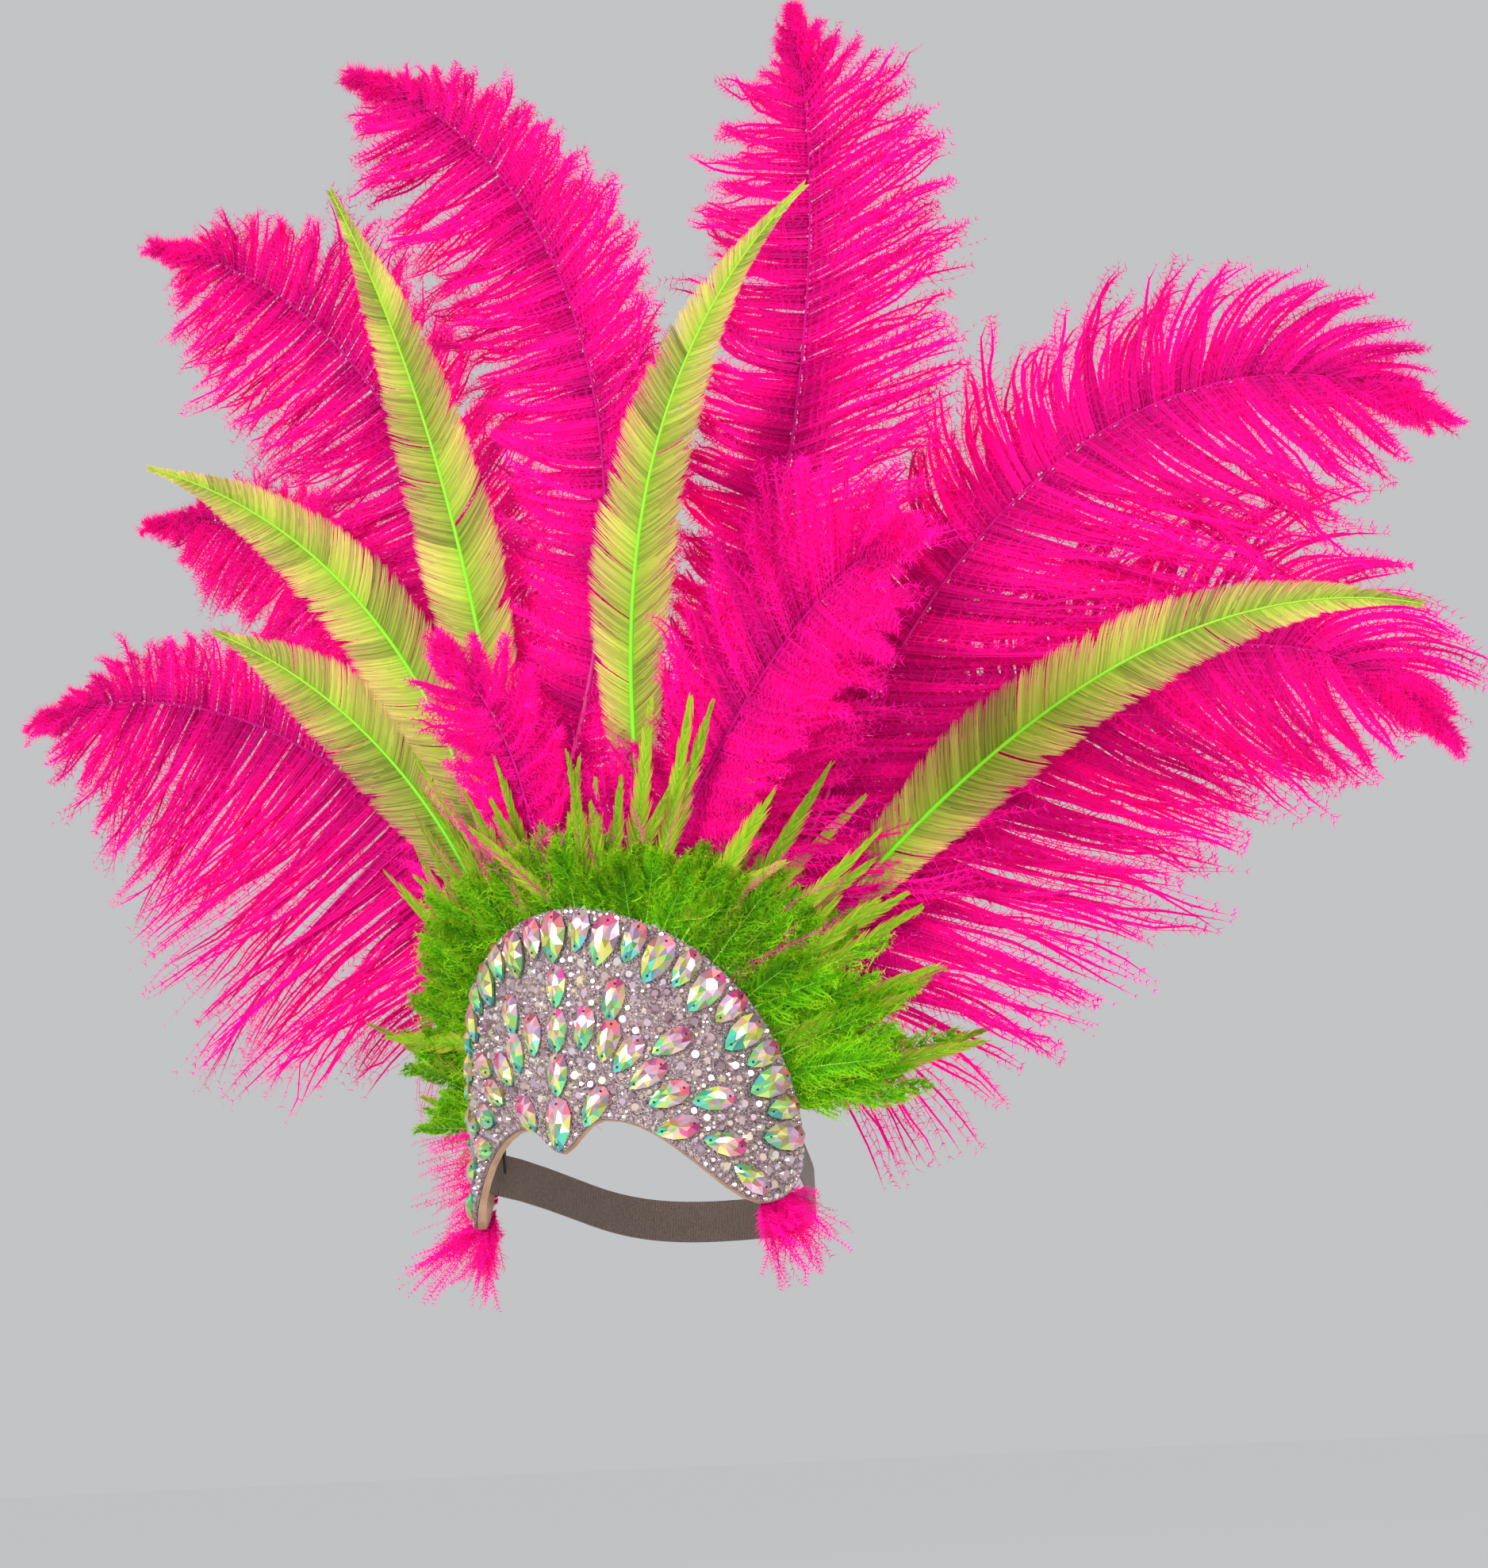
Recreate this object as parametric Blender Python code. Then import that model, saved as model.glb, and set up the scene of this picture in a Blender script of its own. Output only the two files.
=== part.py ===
"""Carnival feather headdress: a jewelled crown plate with plumes, held up as a head holds it.

Metres, +Z up, the wearer looks along -Y and the wearer's left is +X. The origin is the centre
of the head, level with the tip of the plate's widow's peak.
"""
import math

import bmesh
import bpy
from mathutils import Vector

# Head that the headdress goes round
HEAD_HALF_WIDTH = 0.075
HEAD_HALF_LENGTH = 0.095

# Crown plate, measured on its curved outer face
CROWN_RADIUS = 0.100
CROWN_HALF_ARC = 0.1325
CROWN_HEIGHT = 0.126
TEMPLE_DROP = 0.0285
TEMPLE_ARC = 0.028
BROW_ARC = 0.023
BROW_RISE = 0.015
PLATE_WALL = 0.004
BED_WALL = 0.0015

# Sew-on stones
BIG_STONE_LENGTH = 0.027
BIG_STONE_WIDTH = 0.0155
SMALL_STONE_LENGTH = 0.021
SMALL_STONE_WIDTH = 0.0112
STONE_HEIGHT = 0.0046
STONE_GIRDLE = 0.0008
STONE_EDGE_MARGIN = 0.0015
STONE_SINK = 0.0006

# Layers behind the plate
COLLAR_WALL = 0.0033
QUILL_WIDTH = 0.0041
HOLDER_WALL = 0.0015
HOLDER_DEPTH = 0.030
QUILL_SINK = 0.022
HOLDER_TOP = 0.7
QUILL_ROOT = 0.032
QUILL_BLEND = 0.060

# Elastic band
BAND_WIDTH = 0.023
BAND_WALL = 0.0014
BAND_FALL = 0.026
BAND_RISE = 0.0045
BAND_GRIP = 0.020

# Feathers
PLUME_LENGTH = 0.600
PLUME_HALF_WIDTH = 0.080
PLUME_DEPTH = 0.009
LIME_LENGTH = 0.480
LIME_HALF_WIDTH = 0.032
LIME_DEPTH = 0.004
COLLAR_REACH = 0.090
COLLAR_DEPTH = 0.009
COLLAR_INSET = 0.010

CLEARANCE = 0.0003

# Radii of the layers, from the stones inwards
BED_RADIUS = CROWN_RADIUS + CLEARANCE + BED_WALL
PLATE_INNER = CROWN_RADIUS - PLATE_WALL
COLLAR_RADIUS = PLATE_INNER - CLEARANCE - COLLAR_WALL / 2
QUILL_RADIUS = PLATE_INNER - 2 * CLEARANCE - COLLAR_WALL - QUILL_WIDTH / 2
HOLDER_OUTER = QUILL_RADIUS - QUILL_WIDTH / 2 - CLEARANCE
BAND_RADIUS = PLATE_INNER - CLEARANCE - BAND_WALL / 2

# Exponent of the plate's rounded top edge, and of the eased brow line
TOP_ROUNDNESS = 1.8
BROW_EASE = 1.6

# Columns of the plate from its centre to a temple, for each stretch of the lower edge, and steps
# along the edge line that the stones and fans follow
PEAK_COLUMNS = 4
BROW_COLUMNS = 9
TEMPLE_COLUMNS = 7
EDGE_SAMPLES = 48

# Stones from the centre to each temple in the row along the edge, small and big by turns, and the
# sides of each stone's outline
FAN_STONES = 12
STONE_SIDES = 10

# Inner stones: arc and height as shares of the plate's half arc and height, how far the point
# is turned in degrees from straight down towards the centre, and size
INNER_STONES = (
    # arc, height, turn, big
    (0.000, 0.677, 0, False),
    (0.000, 0.494, 0, False),
    (0.000, 0.315, 0, False),
    (0.000, 0.115, 0, True),
    (0.150, 0.172, 30, False),
    (0.232, 0.594, 12, False),
    (0.115, 0.492, 6, False),
    (0.208, 0.433, 18, False),
    (0.283, 0.372, 40, False),
    (0.446, 0.412, 62, False),
    (0.354, 0.285, 56, False),
    (0.430, 0.200, 66, False),
    (0.459, 0.070, 78, False),
    (0.595, 0.183, 82, False),
    (0.634, 0.005, 100, False),
    (0.735, -0.132, 122, False),
)

# Collar and temple tufts: edge shares where each fan starts and ends, its reach as a share of
# the collar's reach at both ends, its outward flare in degrees at both ends, and its locks
FANS = (
    # name, start, end, reach_start, reach_end, flare_start, flare_end, locks, colour
    ("collar_feathers_top", -0.150, 0.150, 0.50, 0.50, 14, 14, 6, "collar"),
    ("collar_feathers_left_upper", 0.155, 0.385, 0.54, 0.76, 14, 18, 5, "collar"),
    ("collar_feathers_left_middle", 0.390, 0.590, 0.78, 0.96, 20, 30, 5, "collar"),
    ("collar_feathers_left_lower", 0.595, 0.725, 0.98, 1.05, 32, 40, 4, "collar"),
    ("collar_feathers_right_upper", -0.155, -0.385, 0.54, 0.76, 14, 18, 5, "collar"),
    ("collar_feathers_right_middle", -0.390, -0.590, 0.78, 0.96, 20, 30, 5, "collar"),
    ("collar_feathers_right_lower", -0.595, -0.725, 0.98, 1.05, 32, 40, 4, "collar"),
    ("temple_tuft_left", 0.905, 0.990, 0.62, 0.52, 6, 2, 4, "magenta"),
    ("temple_tuft_right", -0.905, -0.990, 0.74, 0.90, 6, 2, 4, "magenta"),
)

# Feathers: seat angle round the crown, lean of the root in the plate's face, then sideways and
# backward lean at base and tip, all in degrees, and how late the curve comes; length as a share
# of the named length, widths on the wearer's left and right as shares of the named half width,
# and how much fuller the base is than the tip
PLUMES = (
    # name, seat, root, out_base, out_tip, back_base, back_tip, curl, length, left, right, full
    ("plume_right_low", -58, -34, -15, -87, 4, 11, 0.8, 1.00, 0.65, 1.85, 1.2),
    ("plume_right_middle", -66, -20, -23, -79, 15, 18, 1.9, 1.25, 0.75, 0.90, 0.2),
    ("plume_right_upper", -50, -10, 5, -64, 6, 8, 1.1, 1.25, 0.90, 1.15, 0.2),
    ("plume_right_centre", -8, -2, 32, -56, 3, 5, 1.0, 1.11, 0.65, 1.20, 0.1),
    ("plume_left_centre", 29, 24, 18, -11, 6, 10, 1.5, 1.00, 1.15, 1.20, 0.2),
    ("plume_left_upper", 48, 40, 21, 127, 11, 21, 2.6, 0.95, 1.00, 1.10, 0.3),
    ("plume_left_low", 64, 46, 33, 146, 14, 22, 2.6, 0.80, 1.40, 1.75, 1.0),
    ("plume_front_curled", 20, 24, 38, 92, -12, -36, 2.4, 0.48, 0.70, 0.90, -0.4),
    ("plume_front_small", -14, 0, 16, -30, -14, -26, 1.4, 0.28, 0.50, 0.50, 0.2),
)
LIME_FEATHERS = (
    # name, seat, root, out_base, out_tip, back_base, back_tip, curl, length, left, right, full
    ("lime_feather_right_low", -43, -18, -6, -62, -7, -3, 0.8, 0.71, 1.00, 1.00, 0.3),
    ("lime_feather_right_middle", -34, -15, 8, -66, -6, -1, 0.8, 0.97, 1.00, 1.00, 0.3),
    ("lime_feather_right_upper", -24, 1, -4, -26, -4, -2, 1.4, 1.05, 1.00, 1.00, 0.3),
    ("lime_feather_left_upper", 14, 20, -3, 62, -7, -4, 2.0, 0.90, 1.00, 1.00, 0.3),
    ("lime_feather_left_low", 56, 44, 51, 111, -4, 6, 2.6, 0.93, 1.00, 1.00, 0.3),
)

# Width of a feather's vane along its length: station and width, both as shares
PLUME_OUTLINE = ((0.14, 0.00), (0.20, 0.50), (0.32, 0.86), (0.52, 1.00), (0.76, 0.95),
                 (0.91, 0.72), (1.00, 0.24))
LIME_OUTLINE = ((0.16, 0.00), (0.26, 0.60), (0.42, 1.00), (0.62, 0.94), (0.80, 0.64),
                (0.92, 0.32), (1.00, 0.06))

# Steps along a shaft, sections of its bare root, locks of the vane, how far in degrees the vane's
# sides sweep forward, how far its edges bow back, and how deep the notches between locks are
PATH_STEPS = 48
ROOT_SECTIONS = 4
PLUME_LOCKS = 9
LIME_LOCKS = 6
PLUME_SWEEP = 28
LIME_SWEEP = 34
PLUME_BOW = 0.16
LIME_BOW = 0.06
LOCK_DIP = 0.82
LIME_DIP = 0.93

# Colours: name, red, green, blue, roughness
FINISHES = {
    "leather": (0.30, 0.17, 0.08, 0.6),
    "crystal": (0.75, 0.70, 0.78, 0.15),
    "backing": (0.05, 0.05, 0.05, 0.9),
    "elastic": (0.17, 0.14, 0.11, 0.8),
    "collar": (0.10, 0.40, 0.01, 0.8),
    "magenta": (0.85, 0.003, 0.22, 0.7),
    "lime": (0.38, 0.50, 0.05, 0.6),
}


def clear_scene():
    """Remove every object of the start-up scene."""
    for item in list(bpy.data.objects):
        bpy.data.objects.remove(item, do_unlink=True)


def finish(item, colour, smooth_angle=35.0):
    """Give an object its own material and smooth its rounded faces."""
    red, green, blue, roughness = FINISHES[colour]
    material = bpy.data.materials.new(item.name + "_finish")
    material.use_nodes = True
    shader = material.node_tree.nodes["Principled BSDF"]
    shader.inputs["Base Color"].default_value = (red, green, blue, 1.0)
    shader.inputs["Roughness"].default_value = roughness
    item.data.materials.append(material)
    item.data.shade_smooth()
    item.data.set_sharp_from_angle(angle=math.radians(smooth_angle))


def add_mesh(name, points, faces):
    """Make an object from points and faces."""
    mesh = bpy.data.meshes.new(name)
    mesh.from_pydata([tuple(point) for point in points], [], faces)
    mesh.validate()
    shape = bmesh.new()
    shape.from_mesh(mesh)
    bmesh.ops.recalc_face_normals(shape, faces=shape.faces)
    shape.to_mesh(mesh)
    shape.free()
    item = bpy.data.objects.new(name, mesh)
    bpy.context.scene.collection.objects.link(item)
    return item


def loft(name, rings, split=False):
    """Skin closed rings of equal size one after the other, with a cap at both ends.

    A split skin is cut into triangles so that a thin vane's front and back run side by side.
    """
    size = len(rings[0])
    points = [point for ring in rings for point in ring]
    faces = []
    for ring in range(len(rings) - 1):
        first = ring * size
        for corner in range(size):
            following = (corner + 1) % size
            near, beside = first + corner, first + following
            far, beyond = near + size, beside + size
            if not split:
                faces.append((near, beside, beyond, far))
            elif corner < size // 2:
                faces += [(near, beside, beyond), (near, beyond, far)]
            else:
                faces += [(near, beside, far), (beside, beyond, far)]
    faces.append(tuple(reversed(range(size))))
    last = (len(rings) - 1) * size
    faces.append(tuple(range(last, last + size)))
    return add_mesh(name, points, faces)


def smooth_step(share):
    """Ease from 0 to 1."""
    share = min(max(share, 0.0), 1.0)
    return share * share * (3 - 2 * share)


def table_value(table, share):
    """Read a two-column table at a share, with straight lines between its rows."""
    if share <= table[0][0]:
        return table[0][1]
    for (start, low), (end, high) in zip(table, table[1:]):
        if share <= end:
            return low + (high - low) * (share - start) / (end - start)
    return table[-1][1]


# Crown outline

def wrap(arc, height, radius):
    """Place a point of the flat pattern on the cylinder round the head."""
    angle = arc / CROWN_RADIUS
    return Vector((radius * math.sin(angle), -radius * math.cos(angle), height))


def top_edge(arc):
    """Height of the plate's rounded top edge."""
    share = min(abs(arc) / CROWN_HALF_ARC, 1.0)
    return CROWN_HEIGHT * (1 - share ** TOP_ROUNDNESS) ** (1 / TOP_ROUNDNESS)


def low_edge(arc):
    """Height of the plate's lower edge: widow's peak, brow arch and rounded temple."""
    arc = abs(arc)
    temple_start = CROWN_HALF_ARC - TEMPLE_ARC
    if arc <= BROW_ARC:
        return BROW_RISE * math.sin(math.pi / 2 * arc / BROW_ARC) ** BROW_EASE
    if arc <= temple_start:
        share = (temple_start - arc) / (temple_start - BROW_ARC)
        rise = math.sin(math.pi / 2 * share) ** BROW_EASE
        return -TEMPLE_DROP + (TEMPLE_DROP + BROW_RISE) * rise
    share = min((arc - temple_start) / TEMPLE_ARC, 1.0)
    return -TEMPLE_DROP * math.sqrt(1 - share * share)


def edge_path():
    """Points of the plate's edge from the top centre round a temple to its lowest point."""
    points = []
    for step in range(EDGE_SAMPLES):
        turn = math.pi / 2 * step / EDGE_SAMPLES
        power = 2 / TOP_ROUNDNESS
        points.append((CROWN_HALF_ARC * math.sin(turn) ** power,
                       CROWN_HEIGHT * math.cos(turn) ** power))
    for step in range(EDGE_SAMPLES // 2 + 1):
        turn = math.pi / 2 * step / (EDGE_SAMPLES // 2)
        points.append((CROWN_HALF_ARC - TEMPLE_ARC * (1 - math.cos(turn)),
                       -TEMPLE_DROP * math.sin(turn)))
    return points


EDGE = edge_path()
EDGE_RUN = [0.0]
for before, after in zip(EDGE, EDGE[1:]):
    EDGE_RUN.append(EDGE_RUN[-1] + math.dist(before, after))


def edge_at(share):
    """Point of the edge and its outward direction in the flat pattern, mirrored below zero."""
    run = min(abs(share), 1.0) * EDGE_RUN[-1]
    index = 0
    while index < len(EDGE) - 2 and EDGE_RUN[index + 1] < run:
        index += 1
    start, end = EDGE[index], EDGE[index + 1]
    length = EDGE_RUN[index + 1] - EDGE_RUN[index]
    part = (run - EDGE_RUN[index]) / length
    side = -1 if share < 0 else 1
    arc = start[0] + (end[0] - start[0]) * part
    height = start[1] + (end[1] - start[1]) * part
    outward = (-(end[1] - start[1]) / length, (end[0] - start[0]) / length)
    return side * arc, height, side * outward[0], outward[1]


def plate_columns(margin):
    """Arcs of the plate's columns from temple to temple, held inside the edge by a margin."""
    end = CROWN_HALF_ARC - margin
    temple_start = CROWN_HALF_ARC - TEMPLE_ARC
    half = [BROW_ARC * step / PEAK_COLUMNS for step in range(PEAK_COLUMNS)]
    half += [BROW_ARC + (temple_start - BROW_ARC) * step / BROW_COLUMNS
             for step in range(BROW_COLUMNS)]
    half += [temple_start + (end - temple_start) * math.sin(math.pi / 2 * step / TEMPLE_COLUMNS)
             for step in range(TEMPLE_COLUMNS + 1)]
    return [-arc for arc in reversed(half[1:])] + half


def wrapped_wall(name, columns, inner, outer):
    """Make a wall between two radii from columns of arc, lower and upper height."""
    rings = []
    for arc, low, high in columns:
        rings.append([wrap(arc, low, outer), wrap(arc, low, inner),
                      wrap(arc, high, inner), wrap(arc, high, outer)])
    return loft(name, rings)


def crown_wall(name, margin, inner, outer):
    """Make a wall in the outline of the crown plate, held inside it by a margin."""
    columns = []
    for arc in plate_columns(margin):
        low = low_edge(arc) + margin
        high = top_edge(arc) - margin
        middle = (low + high) / 2
        least = CLEARANCE + margin
        if high - low < least:
            low, high = middle - least / 2, middle + least / 2
        columns.append((arc, low, high))
    return wrapped_wall(name, columns, inner, outer)


# Stones

def stone_rings(length, width):
    """Rings of a cut teardrop lying on its flat back, with its point along +Y."""
    outline = []
    for side in range(STONE_SIDES):
        turn = 2 * math.pi * side / STONE_SIDES
        across = math.sin(turn) * math.sqrt(abs(math.sin(turn / 2)))
        outline.append((width / 2 * across * 1.12, length / 2 * math.cos(turn)))
    levels = ((0.90, 0.0), (1.0, STONE_GIRDLE), (0.46, STONE_HEIGHT))
    return [[(x * share, y * share, z) for x, y in outline] for share, z in levels]


def stone(name, arc, height, turn, big, radius):
    """Make one stone on the bed, its point turned from upright, clockwise from the front."""
    length = BIG_STONE_LENGTH if big else SMALL_STONE_LENGTH
    width = BIG_STONE_WIDTH if big else SMALL_STONE_WIDTH
    centre = wrap(arc, height, radius)
    angle = arc / CROWN_RADIUS
    outward = Vector((math.sin(angle), -math.cos(angle), 0))
    across = Vector((math.cos(angle), math.sin(angle), 0))
    upward = Vector((0, 0, 1))
    turn = math.radians(turn)
    along = upward * math.cos(turn) + across * math.sin(turn)
    beside = across * math.cos(turn) - upward * math.sin(turn)
    rings = []
    for ring in stone_rings(length, width):
        rings.append([centre + beside * x + along * y + outward * z for x, y, z in ring])
    return loft(name, rings)


def fan_row():
    """Make the row of stones along the plate's edge, alternately big and small."""
    seat = BED_RADIUS + CLEARANCE
    half_row = [(0.0, True)]
    reach = EDGE_RUN[EDGE_SAMPLES] - (BIG_STONE_WIDTH + SMALL_STONE_WIDTH) / 4
    for number in range(1, FAN_STONES + 1):
        run = reach * number / FAN_STONES
        half_row.append((run / EDGE_RUN[-1], number % 2 == 0))
    for number, (share, big) in enumerate(half_row):
        length = BIG_STONE_LENGTH if big else SMALL_STONE_LENGTH
        inset = length / 2 + STONE_EDGE_MARGIN
        for side, label in ((1, "left"), (-1, "right")):
            if number == 0 and side == -1:
                continue
            arc, height, out_arc, out_height = edge_at(share * side)
            arc -= out_arc * inset
            height -= out_height * inset
            turn = math.degrees(math.atan2(-out_arc, -out_height))
            name = "fan_stone_centre" if number == 0 else f"fan_stone_{label}_{number:02d}"
            finish(stone(name, arc, height, turn, big, seat), "crystal", 5.0)


def stone_field():
    """Make the encrusted bed with its inner stones fused to it."""
    bed = crown_wall("rhinestone_bed", CLEARANCE, CROWN_RADIUS + CLEARANCE, BED_RADIUS)
    pieces = []
    for arc, height, turn, big in INNER_STONES:
        for side in ((1, -1) if arc > 0 else (1,)):
            item = stone("inner_stone", side * arc * CROWN_HALF_ARC, height * CROWN_HEIGHT,
                         side * (turn + 180), big, BED_RADIUS - STONE_SINK)
            pieces.append(item)
    points, faces = [], []
    for item in pieces:
        first = len(points)
        points += [vertex.co.copy() for vertex in item.data.vertices]
        faces += [tuple(first + corner for corner in face.vertices) for face in item.data.polygons]
        bpy.data.objects.remove(item, do_unlink=True)
    cutter = add_mesh("inner_stones", points, faces)
    cutter.hide_render = True
    cutter.display_type = "WIRE"
    union = bed.modifiers.new("Inner stones", "BOOLEAN")
    union.operation = "UNION"
    union.object = cutter
    finish(bed, "crystal", 5.0)


# Feather fans round the edge

def fan(name, start, end, reach_start, reach_end, flare_start, flare_end, locks, colour):
    """Make one fan of feather locks rooted behind the plate's edge."""
    rings = []
    for column in range(2 * locks + 1):
        part = column / (2 * locks)
        share = start + (end - start) * part
        arc, height, out_arc, out_height = edge_at(share)
        reach = COLLAR_REACH * (reach_start + (reach_end - reach_start) * part)
        if column % 2 == 0:
            reach *= LOCK_DIP
        flare = math.radians(flare_start + (flare_end - flare_start) * part)
        front, back = [], []
        root = wrap(arc, height, COLLAR_RADIUS)
        angle = arc / CROWN_RADIUS
        radial = Vector((math.sin(angle), -math.cos(angle), 0))
        across = Vector((math.cos(angle), math.sin(angle), 0))
        flat = across * out_arc + Vector((0, 0, out_height))
        thick = COLLAR_WALL / 2
        inset = wrap(arc - out_arc * COLLAR_INSET, height - out_height * COLLAR_INSET,
                     COLLAR_RADIUS)
        front.append(inset + radial * thick)
        back.append(inset - radial * thick)
        passing = root + flat * CLEARANCE
        front.append(passing + radial * thick)
        back.append(passing - radial * thick)
        flown = flat * math.cos(flare) + radial * math.sin(flare)
        facing = radial * math.cos(flare) - flat * math.sin(flare)
        for distance, depth in ((0.55, COLLAR_DEPTH), (1.0, COLLAR_WALL / 2)):
            point = passing + flown * reach * distance + facing * (depth - COLLAR_WALL) / 2
            front.append(point + facing * depth / 2)
            back.append(point - facing * depth / 2)
        rings.append(front + back[::-1])
    finish(loft(name, rings), colour, 40.0)


# Single feathers

def shaft(seat, root, out_base, out_tip, back_base, back_tip, curl, length):
    """Points along a feather's shaft, held behind the plate at its root and then free."""
    angle = math.radians(seat)
    arc = angle * CROWN_RADIUS
    point = wrap(arc, top_edge(arc) - QUILL_SINK, QUILL_RADIUS)
    points = [point.copy()]
    step = length / PATH_STEPS
    root_lean = math.radians(root)
    for number in range(PATH_STEPS):
        run = (number + 0.5) * step
        bend = (run / length) ** curl
        out = math.radians(out_base + (out_tip - out_base) * bend)
        back = math.radians(back_base + (back_tip - back_base) * bend)
        free = Vector((math.sin(out) * math.cos(back), math.sin(back),
                       math.cos(out) * math.cos(back)))
        angle = math.atan2(point.x, -point.y)
        held = Vector((math.cos(angle) * math.sin(root_lean),
                       math.sin(angle) * math.sin(root_lean), math.cos(root_lean)))
        share = smooth_step((run - QUILL_ROOT) / QUILL_BLEND)
        direction = (held * (1 - share) + free * share).normalized()
        point = point + direction * step
        if share == 0:
            spread = math.hypot(point.x, point.y)
            point.x *= QUILL_RADIUS / spread
            point.y *= QUILL_RADIUS / spread
        points.append(point.copy())
    return points


def path_at(points, share):
    """Point and direction at a share of a path, going straight on past its ends."""
    place = share * (len(points) - 1)
    index = min(max(int(place), 0), len(points) - 2)
    along = points[index + 1] - points[index]
    return points[index] + along * (place - index), along.normalized()


def vane_section(points, share, half_left, half_right, sizes):
    """One ring of ten points across a feather: edges, mid vanes and shaft, front then back."""
    sweep, bow, depth = sizes
    centre, along = path_at(points, share)
    run = share * math.dist(points[0], points[1]) * PATH_STEPS
    angle = math.atan2(centre.x, -centre.y)
    radial = Vector((math.sin(angle), -math.cos(angle), 0))
    freed = smooth_step((run - QUILL_ROOT) / QUILL_BLEND)
    face = radial * (1 - freed) + Vector((0, -1, 0)) * freed
    beside = along.cross(face).normalized()
    face = beside.cross(along).normalized()
    spine = max(QUILL_WIDTH / 2, depth / 2 * min(1.0, (half_left + half_right) / (4 * depth)))
    spine = spine * (1 - 0.5 * smooth_step(share))
    front, back = [], []
    for side, part in ((-1, 1.0), (-1, 0.5), (0, 0.0), (1, 0.5), (1, 1.0)):
        full = half_right if side < 0 else half_left
        half = full * part
        reach = max(full, QUILL_WIDTH / 2) * part
        forward = along * half * math.sin(math.radians(sweep))
        outward = beside * side * reach * math.cos(math.radians(sweep))
        droop = face * -bow * full * part * part
        thick = spine if side == 0 else spine * (1 - 0.72 * part)
        if full <= QUILL_WIDTH:
            thick = QUILL_WIDTH / 2 * (1 - 0.5 * part * part)
        point = centre + forward + outward + droop
        front.append(point + face * thick)
        back.append(point - face * thick)
    return front + back[::-1]


def feather(row, named_length, named_half, outline, locks, sizes, dip, colour):
    """Make one feather: a bare root and a vane whose edges are cut into locks."""
    name, seat, root, out_base, out_tip, back_base, back_tip, curl, length, left, right, full = row
    length *= named_length
    points = shaft(seat, root, out_base, out_tip, back_base, back_tip, curl, length)
    first = outline[0][0]
    start = max(first, (QUILL_ROOT + QUILL_BLEND / 2) / length)
    sweep, bow, depth = sizes
    sizes = (sweep, math.copysign(bow, back_base), depth)
    shares = [start * step / ROOT_SECTIONS for step in range(ROOT_SECTIONS)]
    shares += [start + (1 - start) * step / (2 * locks) for step in range(2 * locks + 1)]
    rings = []
    for number, share in enumerate(shares):
        station = first + (1 - first) * (share - start) / (1 - start)
        width = table_value(outline, station) * named_half * (1 + full * (0.5 - station))
        tooth = dip if (number - ROOT_SECTIONS) % 2 else 1.0
        other = 1.0 if (number - ROOT_SECTIONS) % 2 else dip
        rings.append(vane_section(points, share, width * left * tooth, width * right * other,
                                  sizes))
    finish(loft(name, rings, split=True), colour, 60.0)


# Holder and band

def quill_holder():
    """Make the hidden strip that backs the quills."""
    seats = [row[1] for row in PLUMES + LIME_FEATHERS]
    reach = math.radians(max(abs(seat) for seat in seats)) * CROWN_RADIUS + QUILL_WIDTH
    columns = []
    steps = 2 * BROW_COLUMNS
    for step in range(steps + 1):
        arc = -reach + 2 * reach * step / steps
        high = top_edge(arc) - QUILL_SINK * HOLDER_TOP
        columns.append((arc, high - HOLDER_DEPTH, high))
    finish(wrapped_wall("quill_holder", columns, HOLDER_OUTER - HOLDER_WALL, HOLDER_OUTER),
           "backing")


def band_plan():
    """Plan points of the band: gripped inside the plate, then straight back and round the head."""
    grip_end = CROWN_HALF_ARC - 2 * CLEARANCE
    grip = [wrap(grip_end - BAND_GRIP * (1 - step / 4), 0, BAND_RADIUS) for step in range(5)]
    start = grip[-1]
    wide = HEAD_HALF_WIDTH + BAND_WALL
    long = HEAD_HALF_LENGTH + BAND_WALL
    reach = math.hypot(start.x / wide, start.y / long)
    meeting = math.atan2(start.y / long, start.x / wide) + math.acos(1 / reach)
    touch = Vector((wide * math.cos(meeting), long * math.sin(meeting), 0))
    points = list(grip)
    points += [start + (touch - start) * part for part in (0.25, 0.5, 0.75)]
    for step in range(12):
        turn = meeting + (math.pi / 2 - meeting) * step / 12
        points.append(Vector((wide * math.cos(turn), long * math.sin(turn), 0)))
    back = Vector((0, long, 0))
    return points + [back] + [Vector((-point.x, point.y, 0)) for point in reversed(points)]


def elastic_band():
    """Make the band: a whole loop with the plate, falling towards the back of the head."""
    plan = band_plan()
    front = min(point.y for point in plan)
    back = max(point.y for point in plan)
    rings = []
    for number, point in enumerate(plan):
        before = plan[max(number - 1, 0)]
        after = plan[min(number + 1, len(plan) - 1)]
        along = (after - before).normalized()
        outward = Vector((along.y, -along.x, 0))
        share = (point.y - front) / (back - front)
        middle = BAND_RISE - BAND_FALL * smooth_step(share)
        upper = point + Vector((0, 0, middle + BAND_WIDTH / 2))
        lower = point + Vector((0, 0, middle - BAND_WIDTH / 2))
        half = outward * BAND_WALL / 2
        rings.append([lower + half, lower - half, upper - half, upper + half])
    finish(loft("elastic_band", rings), "elastic")


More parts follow.
